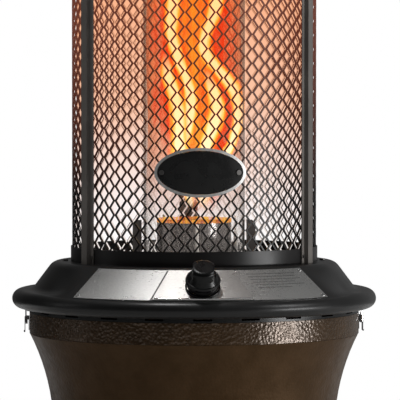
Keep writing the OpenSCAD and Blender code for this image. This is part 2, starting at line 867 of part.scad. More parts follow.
module collar() {
    color(black_paint) difference() {
        translate([0, 0, rim_z]) {
            rotate_extrude() rim_outline();
            collar_sides();
            front_sector(panel_to) collar_panel_outline();
            for (side = [-1, 1]) at_azimuth(side * (panel_half_angle - cheek_angle / 2))
                front_sector(cheek_angle / 2) cheek_outline();
        }
        collar_screw_holes();
        rivet_holes();
        stem_hole();
        valve_room();
    }
}

module collar_screw_holes() {
    for (a = collar_screw_angles) at_azimuth(a)
        translate([0, -collar_screw_circle, deck_top_z - deck_t - cut])
            cylinder(r = collar_screw_r + hole_gap, h = deck_t + sheet_gap + collar_t + 2 * cut);
}

module collar_screws() {
    color(dark_steel) for (a = collar_screw_angles) at_azimuth(a)
        translate([0, -collar_screw_circle, deck_top_z - deck_t]) {
            cylinder(r = collar_screw_r, h = deck_t + sheet_gap + collar_t + collar_screw_head_h);
            translate([0, 0, deck_t + sheet_gap + collar_t])
                cylinder(r = collar_screw_head_r, h = collar_screw_head_h);
        }
}

// Skirt that stands on the base, with its vents and the spigot that centres it
module skirt_ring() {
    seat = rim_z + skirt_low;
    color(black_paint) difference() {
        union() {
            ring(skirt_r - skirt_t, skirt_r, seat, rim_z + skirt_top);
            ring(spigot_r - skirt_t, skirt_r, seat, seat + skirt_t);
            ring(spigot_r - skirt_t, spigot_r, seat - spigot_l, seat + skirt_t);
        }
        for (i = [0 : skirt_vents - 1]) at_azimuth(i * 360 / skirt_vents)
            translate([-skirt_vent_w / 2, -skirt_r - cut, seat + skirt_t + 1])
                cube([skirt_vent_w, skirt_t + 4 * cut, skirt_vent_h]);
    }
}

module deck_plate() {
    color(black_paint) difference() {
        ring(mixer_r + fit_gap, deck_r, deck_top_z - deck_t, deck_top_z);
        collar_screw_holes();
    }
}

// Control panel
module stem_hole() {
    on_panel(knob_s) translate([0, 0, -collar_t - 3])
        cylinder(r = stem_hole_r, h = control_top + collar_t + 6);
}

// The notch in the brim that the valve's neck passes
module valve_room() {
    on_panel(knob_s) translate([0, 0, valve_top]) cylinder(r = valve_neck_r + valve_gap, h = neck_len - 1);
}

module rivet_places() {
    for (a = [-1, 1], s = [plate_start + rivet_edge * 2, plate_start + plate_l - rivet_edge * 2])
        on_panel(s, a * (plate_half_angle - 1.2)) children();
}

module rivet_holes() {
    rivet_places() translate([0, 0, -collar_t - cut])
        cylinder(r = rivet_r + hole_gap, h = collar_t + plate_top_h + 2 * cut);
}

module panel_rivets() {
    color(steel) rivet_places() {
        translate([0, 0, -collar_t]) cylinder(r = rivet_r, h = collar_t + plate_top_h + rivet_head_h);
        translate([0, 0, plate_top_h]) cylinder(r = rivet_head_r, h = rivet_head_h);
    }
}

module panel_strip(s_from, s_to, h_from, h_to) {
    polygon([panel_point(s_from, h_from), panel_point(s_to, h_from),
        panel_point(s_to, h_to), panel_point(s_from, h_to)]);
}

module panel_plate() {
    color(steel) difference() {
        translate([0, 0, rim_z]) front_sector(plate_half_angle)
            panel_strip(plate_start, plate_start + plate_l, panel_gap, plate_top_h);
        rivet_holes();
        stem_hole();
    }
}

// The raised plate in the middle of the panel, wider at its lower edge
module control_plate() {
    s_from = plate_start + 1;
    s_to = plate_start + plate_l - 0.5;
    r_from = panel_point(s_from, 0)[0];
    r_to = panel_point(s_to, 0)[0];
    spread = (control_low_w - control_top_w) / (r_to - r_from);
    past = 20;
    color(steel) difference() {
        intersection() {
            translate([0, 0, rim_z]) front_sector(plate_half_angle)
                panel_strip(s_from, s_to, plate_top_h + sheet_gap, control_top);
            translate([0, 0, rim_z]) linear_extrude(collar_top + 10) polygon([
                [-control_top_w + past * spread, past - r_from],
                [control_top_w - past * spread, past - r_from],
                [control_low_w + past * spread, -past - r_to],
                [-control_low_w - past * spread, -past - r_to]
            ]);
        }
        stem_hole();
    }
}

module knob_bezel() {
    color(black_paint) on_panel(knob_s) difference() {
        translate([0, 0, control_top]) cylinder(r = bezel_in_r + bezel_t, h = bezel_h);
        translate([0, 0, control_top - cut]) cylinder(r = bezel_in_r, h = bezel_h + 2 * cut);
    }
}

// A round skirt that flares to its widest, with a rounded grip across it
// Round block with a rounded top, which the grip is cut from
module knob_dome() {
    block_h = knob_top - skirt_top_h + cut;
    translate([0, 0, skirt_top_h - cut]) rotate_extrude() union() {
        square([knob_dome_r, block_h - knob_round]);
        square([knob_dome_r - knob_round, block_h]);
        intersection() {
            translate([knob_dome_r - knob_round, block_h - knob_round]) circle(r = knob_round);
            square([knob_r, block_h]);
        }
    }
}

module control_knob() {
    color(black_paint) on_panel(knob_s) difference() {
        union() {
            rotate_extrude() polygon([
                [0, knob_foot], [knob_foot_r, knob_foot], [knob_foot_r, knob_flare_h],
                [knob_r, knob_wide_h], [knob_r - 1, skirt_top_h], [0, skirt_top_h]
            ]);
            translate([0, 0, skirt_top_h - cut])
                cylinder(r1 = knob_r - 2, r2 = knob_dome_r - 1, h = knob_shoulder_h + cut);
            intersection() {
                knob_dome();
                translate([-grip_w / 2, -knob_r, skirt_top_h - cut]) cube([grip_w, 2 * knob_r, knob_top]);
            }
            translate([-marker_w / 2, 2, knob_top - cut])
                cube([marker_w, knob_dome_r - knob_round, cut + marker_h]);
        }
        translate([0, 0, knob_foot - cut]) stem_shape(run_gap, stem_top - knob_foot + cut + run_gap);
    }
}

// A round rod with one flat, so that what it enters turns with it
module stem_shape(gap, h) {
    difference() {
        cylinder(r = stem_r + gap, h = h);
        translate([-stem_r * 2, stem_r - stem_flat + gap, -cut]) cube([stem_r * 4, stem_r, h + 2 * cut]);
    }
}

module valve_stem() {
    color(brass) on_panel(knob_s) translate([0, 0, stem_low]) stem_shape(0, stem_top - stem_low);
}

module valve_plug() {
    color(brass) on_panel(knob_s) difference() {
        translate([0, 0, plug_floor + run_gap]) cylinder(r = plug_r, h = plug_top - plug_floor - run_gap);
        translate([0, 0, plug_bore_low]) stem_shape(run_gap, plug_top - plug_bore_low + cut);
    }
}

// Valve body with the neck that is clamped under the panel, the socket of the gas pipe and the hose inlet
module valve_body() {
    color(dark_steel) difference() {
        on_panel(knob_s) {
            translate([0, 0, valve_low]) cylinder(r = valve_r, h = valve_l);
            translate([0, 0, valve_top - cut]) cylinder(r = valve_neck_r, h = neck_len + cut);
            translate([0, 0, valve_low - inlet_l]) cylinder(r = inlet_r, h = inlet_l + cut);
        }
        on_panel(knob_s) translate([0, 0, plug_floor])
            cylinder(r = plug_r + run_gap, h = neck_top - plug_floor + cut);
        translate([0, outlet_start - outlet[0], pipe_z]) rotate([-90, 0, 0])
            cylinder(r = pipe_r + fit_gap, h = 3 * valve_r);
    }
}

// A straight run from the valve, then a bend up to the jet
module gas_pipe() {
    run_from = outlet_start - outlet[0];
    color(brass) {
        translate([0, run_from, pipe_z]) rotate([-90, 0, 0]) difference() {
            cylinder(r = pipe_r, h = -pipe_bend_r - run_from);
            translate([0, 0, -cut]) cylinder(r = pipe_r - pipe_t, h = -pipe_bend_r - run_from + 2 * cut);
        }
        translate([0, -pipe_bend_r, bend_top_z]) rotate([0, 90, 0]) rotate_extrude(angle = 90)
            translate([pipe_bend_r, 0]) difference() {
                circle(r = pipe_r);
                circle(r = pipe_r - pipe_t);
            }
        translate([0, 0, bend_top_z]) difference() {
            cylinder(r = pipe_r, h = pipe_tail);
            translate([0, 0, -cut]) cylinder(r = pipe_r - pipe_t, h = pipe_tail + 2 * cut);
        }
    }
}

module gas_jet() {
    color(brass) difference() {
        union() {
            translate([0, 0, jet_z]) cylinder(r = jet_r, h = jet_l, $fn = 6);
            translate([0, 0, jet_z + jet_l - cut]) cylinder(r = jet_nose_r, h = jet_nose_l + cut);
        }
        translate([0, 0, jet_z - cut]) cylinder(r = pipe_r + fit_gap, h = jet_socket + cut);
        translate([0, 0, jet_z]) cylinder(r = 0.8, h = jet_l + jet_nose_l + cut);
    }
}

// Mixing tube that hangs in the deck by its flange and carries the burner
module mixing_tube() {
    color(steel) difference() {
        union() {
            translate([0, 0, mixer_z]) cylinder(r = mixer_r, h = burner_z - mixer_z);
            translate([0, 0, deck_top_z]) cylinder(r = mixer_flange_r, h = mixer_flange_t);
        }
        translate([0, 0, mixer_z + mixer_cap_t]) cylinder(r = mixer_r - mixer_t, h = burner_z - mixer_z);
        translate([0, 0, mixer_z - cut]) cylinder(r = jet_nose_r + fit_gap, h = mixer_cap_t + 2 * cut);
        for (a = [0, 90]) at_azimuth(a)
            translate([-mixer_r / 3, -mixer_r - cut, mixer_z + mixer_cap_t + 2])
                cube([2 * mixer_r / 3, 2 * mixer_r + 2 * cut, mixer_window_h]);
    }
}

module burner_head() {
    color(dark_steel) difference() {
        translate([0, 0, burner_z]) cylinder(r = burner_r, h = burner_h);
        translate([0, 0, burner_z + burner_t]) cylinder(r = burner_r - burner_t, h = burner_h - 2 * burner_t);
        translate([0, 0, burner_z - cut]) cylinder(r = mixer_r - mixer_t, h = burner_t + 2 * cut);
        for (i = [0 : burner_ports - 1]) at_azimuth(i * 360 / burner_ports)
            translate([0, -burner_port_circle, burner_z + burner_h - burner_t - cut])
                cylinder(r = burner_port_r, h = burner_t + 2 * cut);
    }
}

module burner_drum() {
    color(steel) ring(drum_r - seat_t, drum_r, deck_top_z, drum_top_z);
}

// Two rods that stand on the deck beside the drum and reach over its edge, each in a sleeve at its foot
module flame_rod(a, sleeve_part) {
    at_azimuth(a) translate([0, -rod_circle, deck_top_z]) {
        cylinder(r = rod_r, h = drum_h + rod_over);
        cylinder(r = rod_sleeve_r, h = drum_h * sleeve_part);
    }
}

module thermocouple() {
    color(brass) flame_rod(225, 0.4);
}

module spark_electrode() {
    color([0.9, 0.88, 0.85]) flame_rod(78, 0.75);
}

// Switch under the deck that shuts the gas when the heater tips over
module tilt_switch() {
    switch_size = [40, 26, 24];
    color(black_paint) translate([60, 40, deck_top_z - deck_t - switch_size[2]]) cube(switch_size);
}

// Glass
module glass_seat() {
    color(steel) {
        ring(seat_inner_r, seat_rim_r + seat_t, deck_top_z, seat_z);
        ring(seat_rim_r, seat_rim_r + seat_t, deck_top_z, seat_z + seat_rim_h);
    }
}

// Guides outside the glass: a foot on the deck, an upright and a gusset
module seat_brackets() {
    half_w = seat_bracket_w / 2;
    color(dark_steel) for (a = bracket_angles) at_azimuth(a) translate([0, -bracket_wall_r, deck_top_z]) {
        translate([-half_w, -bracket_depth, 0]) cube([seat_bracket_w, bracket_depth, seat_t]);
        translate([-half_w, -seat_t, 0]) cube([seat_bracket_w, seat_t, bracket_h]);
        translate([-seat_t / 2, 0, 0]) rotate([90, 0, 90]) linear_extrude(seat_t) polygon([
            [0, 0], [-bracket_depth, 0], [-bracket_depth, bracket_h - bracket_chamfer],
            [-bracket_depth + bracket_chamfer, bracket_h], [0, bracket_h]
        ]);
    }
}

module glass_gasket() {
    color([0.85, 0.83, 0.78]) ring(glass_r - glass_t - 1, seat_rim_r - fit_gap, seat_z, glass_low_z);
}

module glass_tube() {
    color(clear_glass) ring(glass_r - glass_t, glass_r, glass_low_z, glass_top_z);
}

module glass_top_ring() {
    color(dark_steel) ring(seat_rim_r, seat_rim_r + seat_t, guard_top_z - top_ring_h, guard_top_z);
}

// Guard
module guard_ring(z_low) {
    color(black_paint) difference() {
        ring(ring_r, ring_out_r, z_low, z_low + ring_h);
        post_screw_places() radial_pin(post_screw_r + hole_gap, ring_r - 3, post_r + post_t + cut, 0);
    }
}

module guard_lower_ring() {
    guard_ring(collar_top_z);
}

module guard_upper_ring() {
    guard_ring(guard_top_z - ring_h);
}

// One place at each end of each flange of each post
module post_screw_places() {
    for (a = [-post_angle, post_angle, 180], u = [-1, 1], z = [collar_top_z, guard_top_z - ring_h])
        at_azimuth(a) translate([u * post_screw_u, 0, z + ring_h / 2]) children();
}

module post_screws() {
    shank_from = ring_r + 0.6;
    color(dark_steel) post_screw_places() {
        radial_pin(post_screw_r, shank_from, post_r + post_t + post_screw_head_h, 0);
        radial_pin(post_screw_head_r, post_r + post_t, post_r + post_t + post_screw_head_h, 0);
    }
}

// A hat section: two flanges on the ring and a hollow rib between them
module guard_post(a) {
    color(black_paint) difference() {
        at_azimuth(a) translate([0, -post_r, collar_top_z]) linear_extrude(guard_h) rotate([0, 0, 180])
            difference() {
                union() {
                    translate([-post_w / 2, 0]) square([post_w, post_t]);
                    translate([-rib_w / 2, 0]) square([rib_w, post_t + rib_h]);
                }
                translate([-rib_w / 2 + post_t, -cut]) square([rib_w - 2 * post_t, rib_h + cut]);
            }
        post_screw_places() radial_pin(post_screw_r + hole_gap, ring_r - 3, post_r + post_t + cut, 0);
    }
}

module guard_post_left() {
    guard_post(-post_angle);
}

module guard_post_right() {
    guard_post(post_angle);
}

module guard_post_rear() {
    guard_post(180);
}

// Outline of one zigzag strand, laid flat: it turns at each half diamond, and lean tells which way it starts
module strand_outline(lean) {
    half_pitch = mesh_r * tan(mesh_step / 2);
    leg = norm([2 * half_pitch, diamond_h / 2]);
    half_x = strand_w / 2 * leg / (diamond_h / 2);
    swing = half_pitch - half_x - weld_gap / 2;
    turns = [for (i = [0 : half_rows]) [lean * (i % 2 == 0 ? 1 : -1) * swing, i * diamond_h / 2]];
    back = [for (i = [half_rows : -1 : 0]) turns[i] - [half_x, 0]];
    polygon(concat([for (p = turns) p + [half_x, 0]], back));
}

// Strands that lean in turn to the left and to the right, counted from the front to the right
module mesh_panel(k_first, k_last, lean) {
    color(black_paint) for (k = [k_first : k_last]) at_azimuth((k + 0.5) * mesh_step)
        translate([0, mesh_t / 2 - mesh_r, mesh_z]) rotate([90, 0, 0])
            linear_extrude(mesh_t) strand_outline(k % 2 == 0 ? lean : -lean);
}

module guard_mesh_front() {
    mesh_panel(-front_strands / 2, front_strands / 2 - 1, 1);
}

// The two other panels start half a diamond higher, behind the front posts
module guard_mesh_left() {
    mesh_panel(-3 * front_strands / 2, -front_strands / 2 - 1, -1);
}

module guard_mesh_right() {
    mesh_panel(front_strands / 2, 3 * front_strands / 2 - 1, -1);
}

// Badge
module oval(half_w, half_h) {
    turn = 360 / oval_steps;
    polygon([for (i = [0 : oval_steps - 1]) [half_w * cos(i * turn), half_h * sin(i * turn)]]);
}

// An oval prism that looks along the front
module oval_prism(inset) {
    translate([0, 0, badge_z]) rotate([90, 0, 0]) linear_extrude(2 * mesh_r)
        oval(badge_w / 2 - inset, badge_h / 2 - inset);
}

module badge_sheet(t) {
    ring_sector(badge_r, badge_r + t, badge_z - badge_h, badge_z + badge_h, 30);
}

module badge_frame() {
    color(steel) difference() {
        intersection() {
            badge_sheet(badge_t + badge_proud);
            oval_prism(0);
        }
        oval_prism(badge_frame_w);
    }
}

module badge_face() {
    color(black_paint) difference() {
        intersection() {
            badge_sheet(badge_t);
            oval_prism(badge_frame_w + badge_gap);
        }
        badge_screw_places() radial_pin(badge_screw_r + hole_gap, badge_r - cut, badge_face_r + cut, badge_z);
    }
}

module badge_screw_places() {
    for (side = [-1, 1]) at_azimuth(side * badge_screw_angle) children();
}

module badge_backing() {
    color(dark_steel) difference() {
        ring_sector(backing_r - backing_t, backing_r, badge_z - backing_half_h, badge_z + backing_half_h,
            backing_half_angle);
        badge_screw_places()
            radial_pin(badge_screw_r + hole_gap, backing_r - backing_t - cut, backing_r + cut, badge_z);
    }
}

module badge_screws() {
    color(dark_steel) badge_screw_places() {
        radial_pin(badge_screw_r, backing_r - backing_t, badge_face_r + badge_screw_head_h, badge_z);
        radial_pin(badge_screw_head_r, badge_face_r + 0.1, badge_face_r + badge_screw_head_h, badge_z);
    }
}

// Hood
module standoff_places(z) {
    for (i = [0 : standoff_count - 1]) at_azimuth(standoff_first + i * 360 / standoff_count)
        translate([0, -standoff_circle, z]) children();
}

module top_plate() {
    color(black_paint) difference() {
        ring(exhaust_r, top_plate_r, top_plate_z, top_plate_z + top_plate_t);
        standoff_places(top_plate_z - cut) cylinder(r = hood_stud_r + hole_gap, h = top_plate_t + 2 * cut);
    }
}

// Posts with a stud at each end: one passes the top plate and the other the hood
module hood_standoffs() {
    color(dark_steel) standoff_places(top_plate_z) {
        cylinder(r = hood_stud_r, h = top_plate_t + standoff_h + hood_t + nut_h / 2);
        translate([0, 0, top_plate_t]) cylinder(r = standoff_r, h = standoff_h);
    }
}

// Outline of the hood: a dome, a flat that the posts carry, and an edge that turns down
module hood_outline() {
    dome_c = [0, hood_z + hood_t + dome_h - dome_arc_r];
    intersection() {
        arc_strip(dome_c, dome_arc_r, dome_arc_r - hood_t, 0, 90);
        translate([0, hood_z]) square([reach, dome_h + 2 * hood_t]);
    }
    translate([dome_r - 2 * hood_t, hood_z]) square([hood_turn_r - dome_r + 2 * hood_t, hood_t]);
    arc_strip([hood_turn_r, hood_z + hood_t - hood_edge_arc], hood_edge_arc, hood_edge_arc - hood_t, 0, 90);
}

module hood() {
    color(black_paint) difference() {
        rotate_extrude() hood_outline();
        standoff_places(hood_z - cut) cylinder(r = hood_stud_r + hole_gap, h = hood_t + 2 * cut);
    }
}

module hood_nuts() {
    color(steel) standoff_places(hood_z + hood_t) difference() {
        union() {
            cylinder(r = nut_r, h = nut_h, $fn = 6);
            translate([0, 0, nut_h]) intersection() {
                sphere(r = nut_dome_r);
                cylinder(r = nut_dome_r, h = nut_dome_r);
            }
        }
        translate([0, 0, -cut]) cylinder(r = hood_stud_r + run_gap, h = nut_h / 2 + cut + run_gap);
    }
}

feet();
base_plate();
bottle_ring();
base_shell();
base_band();
wheel_bracket();
wheel_axle();
axle_caps();
wheel_left();
wheel_right();
latch_plates();
latch_pins();
latch_lever_left();
latch_lever_right();
latch_loop_left();
latch_loop_right();
latch_keepers();
collar();
skirt_ring();
deck_plate();
collar_screws();
panel_plate();
control_plate();
panel_rivets();
knob_bezel();
control_knob();
valve_stem();
valve_plug();
valve_body();
gas_pipe();
gas_jet();
mixing_tube();
burner_head();
burner_drum();
thermocouple();
spark_electrode();
tilt_switch();
glass_seat();
seat_brackets();
glass_gasket();
glass_tube();
glass_top_ring();
guard_lower_ring();
guard_upper_ring();
guard_post_left();
guard_post_right();
guard_post_rear();
guard_mesh_front();
guard_mesh_left();
guard_mesh_right();
post_screws();
badge_frame();
badge_face();
badge_backing();
badge_screws();
top_plate();
hood_standoffs();
hood();
hood_nuts();
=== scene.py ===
"""Looks of a glass tube patio heater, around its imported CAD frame. Metres, +Z up, the front faces -Y."""

import json
import math

import bmesh
import bpy
from mathutils import Matrix, Vector

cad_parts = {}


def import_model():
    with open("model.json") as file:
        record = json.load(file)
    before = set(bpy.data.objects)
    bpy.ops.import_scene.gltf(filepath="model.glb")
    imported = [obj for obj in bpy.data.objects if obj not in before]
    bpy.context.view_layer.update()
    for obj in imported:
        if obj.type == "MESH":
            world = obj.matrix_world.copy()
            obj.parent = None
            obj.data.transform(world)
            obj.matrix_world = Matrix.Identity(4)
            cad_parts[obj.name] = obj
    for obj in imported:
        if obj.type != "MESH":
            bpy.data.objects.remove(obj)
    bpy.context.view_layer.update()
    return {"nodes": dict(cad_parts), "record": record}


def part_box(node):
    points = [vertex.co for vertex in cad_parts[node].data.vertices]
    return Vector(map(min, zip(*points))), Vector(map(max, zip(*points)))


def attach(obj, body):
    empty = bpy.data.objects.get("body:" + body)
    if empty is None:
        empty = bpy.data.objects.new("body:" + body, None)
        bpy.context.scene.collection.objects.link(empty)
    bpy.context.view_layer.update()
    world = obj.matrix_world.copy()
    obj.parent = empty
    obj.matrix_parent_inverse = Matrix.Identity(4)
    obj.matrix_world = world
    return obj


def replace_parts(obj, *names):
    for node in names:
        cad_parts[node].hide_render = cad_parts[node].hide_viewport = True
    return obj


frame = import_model()
nodes_by_name = frame["nodes"]
scene = bpy.context.scene

# Sizes that the solids give
MM = 0.001
TOP = 54 * MM
HEAD_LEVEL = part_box("collar")[1][2] - TOP
SHOULDER_R = 199.54 * MM
COLLAR_INNER_R = 169.54 * MM
RIM_CIRCLE_R = 256.54 * MM
RIM_R = 12.8 * MM
RIM_RISE = -1.9 * MM
SHEET = 2 * MM
PANEL_TOP_R = 201.74 * MM
PANEL_LOW_R = 261.54 * MM
PANEL_LOW_Z = 10.08 * MM
PANEL_SLOPE = math.atan2(TOP - PANEL_LOW_Z, PANEL_LOW_R - PANEL_TOP_R)
PANEL_LENGTH = math.hypot(TOP - PANEL_LOW_Z, PANEL_LOW_R - PANEL_TOP_R)
KNOB_S = 0.62 * PANEL_LENGTH
PLATE_TOP = 0.9 * MM
CONTROL_TOP = 2.1 * MM
GLASS_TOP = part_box("glass_tube")[1][2]
DRUM_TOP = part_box("burner_drum")[1][2]
GUARD_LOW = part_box("guard_mesh_front")[0][2]
GUARD_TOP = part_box("guard_mesh_front")[1][2]


# Node graphs


def material(name):
    """A new node material: its tree and its Principled shader."""
    mat = bpy.data.materials.new(name)
    mat.use_nodes = True
    return mat, mat.node_tree, mat.node_tree.nodes["Principled BSDF"]


def node(tree, kind, **inputs):
    """Adds a shader node; inputs go by socket name, with _ for a space, and sockets are linked."""
    n = tree.nodes.new(kind)
    for key, value in inputs.items():
        put(tree, n.inputs[key.replace("_", " ")], value)
    return n


def put(tree, socket, value):
    if isinstance(value, bpy.types.NodeSocket):
        tree.links.new(value, socket)
    else:
        socket.default_value = value


def object_coords(tree, stretch=(1, 1, 1)):
    """Object coordinates, which are the row frame in metres, scaled along each axis."""
    coords = tree.nodes.new("ShaderNodeTexCoord").outputs["Object"]
    return node(tree, "ShaderNodeMapping", Vector=coords, Scale=stretch).outputs["Vector"]


def noise(tree, vector, scale, detail=3.0, roughness=0.55, distortion=0.0):
    n = node(tree, "ShaderNodeTexNoise", Vector=vector, Scale=scale, Detail=detail)
    n.inputs["Roughness"].default_value = roughness
    n.inputs["Distortion"].default_value = distortion
    return n.outputs["Fac"]


def ramp(tree, fac, *stops):
    """A colour ramp through (place, colour) stops."""
    n = node(tree, "ShaderNodeValToRGB", Fac=fac)
    points = n.color_ramp.elements
    while len(points) < len(stops):
        points.new(0.5)
    for point, (place, colour) in zip(points, stops):
        point.position = place
        point.color = (*colour, 1) if len(colour) == 3 else colour
    return n.outputs["Color"]


def remap(tree, value, low, high, to_low, to_high):
    n = node(tree, "ShaderNodeMapRange", Value=value)
    for key, number in zip(("From Min", "From Max", "To Min", "To Max"), (low, high, to_low, to_high)):
        n.inputs[key].default_value = number
    return n.outputs["Result"]


def math_node(tree, operation, a, b=0.0):
    n = tree.nodes.new("ShaderNodeMath")
    n.operation = operation
    put(tree, n.inputs[0], a)
    put(tree, n.inputs[1], b)
    return n.outputs["Value"]


def bump(tree, shader, height, strength, distance):
    n = node(tree, "ShaderNodeBump", Height=height, Strength=strength, Distance=distance)
    tree.links.new(n.outputs["Normal"], shader.inputs["Normal"])


# Materials


def hammered_bronze(name, rough, gloss, depth):
    """Dark bronze hammer paint: small shallow dimples with a glossy skin."""
    mat, tree, s = material(name)
    coords = object_coords(tree)
    warp = noise(tree, coords, 90, 2)
    cells = node(tree, "ShaderNodeTexVoronoi", Vector=coords, Scale=230)
    cells.feature = "SMOOTH_F1"
    cells.inputs["Smoothness"].default_value = 0.5
    dimples = math_node(tree, "ADD", cells.outputs["Distance"], math_node(tree, "MULTIPLY", warp, 0.5))
    dark = (0.048, 0.026, 0.0105)
    light = (0.066, 0.037, 0.017)
    put(tree, s.inputs["Base Color"], ramp(tree, noise(tree, coords, 30, 4), (0.35, dark), (0.7, light)))
    s.inputs["Metallic"].default_value = 0.3
    s.inputs["Specular IOR Level"].default_value = gloss
    put(tree, s.inputs["Roughness"], remap(tree, warp, 0.3, 0.7, 0.88 * rough, 1.12 * rough))
    bump(tree, s, dimples, depth, 0.001)
    return mat


def powder_black(name, colour, rough_low, rough_high, grain):
    """Black powder coat with a fine orange peel."""
    mat, tree, s = material(name)
    coords = object_coords(tree)
    cloud = noise(tree, coords, 18, 4)
    dark = tuple(0.75 * c for c in colour)
    put(tree, s.inputs["Base Color"], ramp(tree, cloud, (0.3, dark), (0.7, colour)))
    put(tree, s.inputs["Roughness"], remap(tree, cloud, 0.3, 0.7, rough_low, rough_high))
    s.inputs["Specular IOR Level"].default_value = 0.3
    bump(tree, s, noise(tree, coords, grain, 2), 0.12, 0.0004)
    return mat


# Heights above the mesh's foot between which a painted glow comes up over the whole strands
PAINTED_GLOW_STARTS = 100 * MM
PAINTED_GLOW_FULL = 360 * MM


def mesh_with_painted_flame_light():
    """Black strands with painted flame light: emission on their inner side is painted light of the flame,
    and high up a painted glow covers a whole strand.
    """
    mat = powder_black("mesh_black_painted_glow", (0.009, 0.008, 0.008), 0.3, 0.4, 900)
    tree = mat.node_tree
    s = tree.nodes["Principled BSDF"]
    coords = tree.nodes.new("ShaderNodeTexCoord")
    spoke = node(tree, "ShaderNodeMapping", Vector=coords.outputs["Object"], Scale=(1, 1, 0))
    spoke.vector_type = "VECTOR"
    outward = node(tree, "ShaderNodeVectorMath", Vector=spoke.outputs["Vector"])
    outward.operation = "NORMALIZE"
    facing = tree.nodes.new("ShaderNodeVectorMath")
    facing.operation = "DOT_PRODUCT"
    put(tree, facing.inputs[0], outward.outputs["Vector"])
    put(tree, facing.inputs[1], coords.outputs["Normal"])
    # How far a face looks inward, which sets where the flame light is painted on
    inner = remap(tree, facing.outputs["Value"], -0.3, -0.8, 0.0, 1.0)
    z = node(tree, "ShaderNodeSeparateXYZ", Vector=coords.outputs["Object"]).outputs["Z"]
    level = remap(tree, z, GUARD_LOW, GUARD_TOP, 0.9, 0.6)
    flicker = remap(tree, noise(tree, coords.outputs["Object"], 25, 3), 0.3, 0.7, 0.9, 1.0)
    # Painted glow over the whole strand, growing with height
    glow_amount = remap(tree, z, GUARD_LOW + PAINTED_GLOW_STARTS, GUARD_LOW + PAINTED_GLOW_FULL, 0.0, 0.13)
    painted_glow_red = (1.0, 0.25, 0.13)
    painted_glow_pale = (1.0, 0.94, 0.9)
    put(tree, s.inputs["Emission Color"], ramp(tree, inner, (0.0, painted_glow_red), (1.0, painted_glow_pale)))
    painted_inner_light = math_node(tree, "MULTIPLY", inner, math_node(tree, "MULTIPLY", level, flicker))
    put(tree, s.inputs["Emission Strength"], math_node(tree, "MAXIMUM", painted_inner_light, glow_amount))
    return mat


def brushed_steel(name, colour, rough, stretch, depth=0.08, height=0.0003):
    """Steel with long fine scratches: stretch is small along the brushing."""
    mat, tree, s = material(name)
    scratches = noise(tree, object_coords(tree, stretch), 1, 5, 0.7)
    cloud = noise(tree, object_coords(tree), 12, 3)
    low = tuple(0.86 * c for c in colour)
    put(tree, s.inputs["Base Color"], ramp(tree, scratches, (0.3, low), (0.7, colour)))
    s.inputs["Metallic"].default_value = 1.0
    half_cloud = math_node(tree, "MULTIPLY", cloud, 0.5)
    wear = math_node(tree, "ADD", math_node(tree, "MULTIPLY", scratches, 0.5), half_cloud)
    put(tree, s.inputs["Roughness"], remap(tree, wear, 0.3, 0.7, 0.8 * rough, 1.25 * rough))
    bump(tree, s, scratches, depth, height)
    return mat


def smooth_metal(name, colour, rough):
    """Plated or turned metal with faint smears."""
    mat, tree, s = material(name)
    smears = noise(tree, object_coords(tree), 70, 4)
    low = tuple(0.9 * c for c in colour)
    put(tree, s.inputs["Base Color"], ramp(tree, smears, (0.35, low), (0.65, colour)))
    s.inputs["Metallic"].default_value = 1.0
    put(tree, s.inputs["Roughness"], remap(tree, smears, 0.3, 0.7, 0.7 * rough, 1.4 * rough))
    return mat


def moulded(name, colour, rough, coat=0.0, grain=900, gloss=0.5):
    """Moulded plastic, rubber or glaze with a fine skin."""
    mat, tree, s = material(name)
    coords = object_coords(tree)
    cloud = noise(tree, coords, 45, 3)
    low = tuple(0.8 * c for c in colour)
    put(tree, s.inputs["Base Color"], ramp(tree, cloud, (0.35, low), (0.65, colour)))
    put(tree, s.inputs["Roughness"], remap(tree, cloud, 0.3, 0.7, 0.85 * rough, 1.15 * rough))
    s.inputs["Specular IOR Level"].default_value = gloss
    s.inputs["Coat Weight"].default_value = coat
    s.inputs["Coat Roughness"].default_value = 0.08
    bump(tree, s, noise(tree, coords, grain, 2), 0.06, 0.0003)
    return mat


def clear_glass():
    mat, tree, s = material("clear_glass")
    smears = noise(tree, object_coords(tree, (6, 6, 1)), 20, 3)
    smeared = (0.97, 0.97, 0.96)
    clean = (0.995, 0.99, 0.985)
    put(tree, s.inputs["Base Color"], ramp(tree, smears, (0.3, smeared), (0.7, clean)))
    s.inputs["Transmission Weight"].default_value = 1.0
    s.inputs["IOR"].default_value = 1.47
    s.inputs["Specular IOR Level"].default_value = 0.1
    s.inputs["Roughness"].default_value = 0.0
    return mat


def woven_gasket():
    mat, tree, s = material("woven_gasket")
    weave = node(tree, "ShaderNodeTexWave", Vector=object_coords(tree), Scale=400, Distortion=1.5)
    between = (0.5, 0.47, 0.42)
    yarn = (0.7, 0.67, 0.6)
    put(tree, s.inputs["Base Color"], ramp(tree, weave.outputs["Fac"], (0.2, between), (0.8, yarn)))
    s.inputs["Roughness"].default_value = 0.9
    bump(tree, s, weave.outputs["Fac"], 0.4, 0.0004)
    return mat


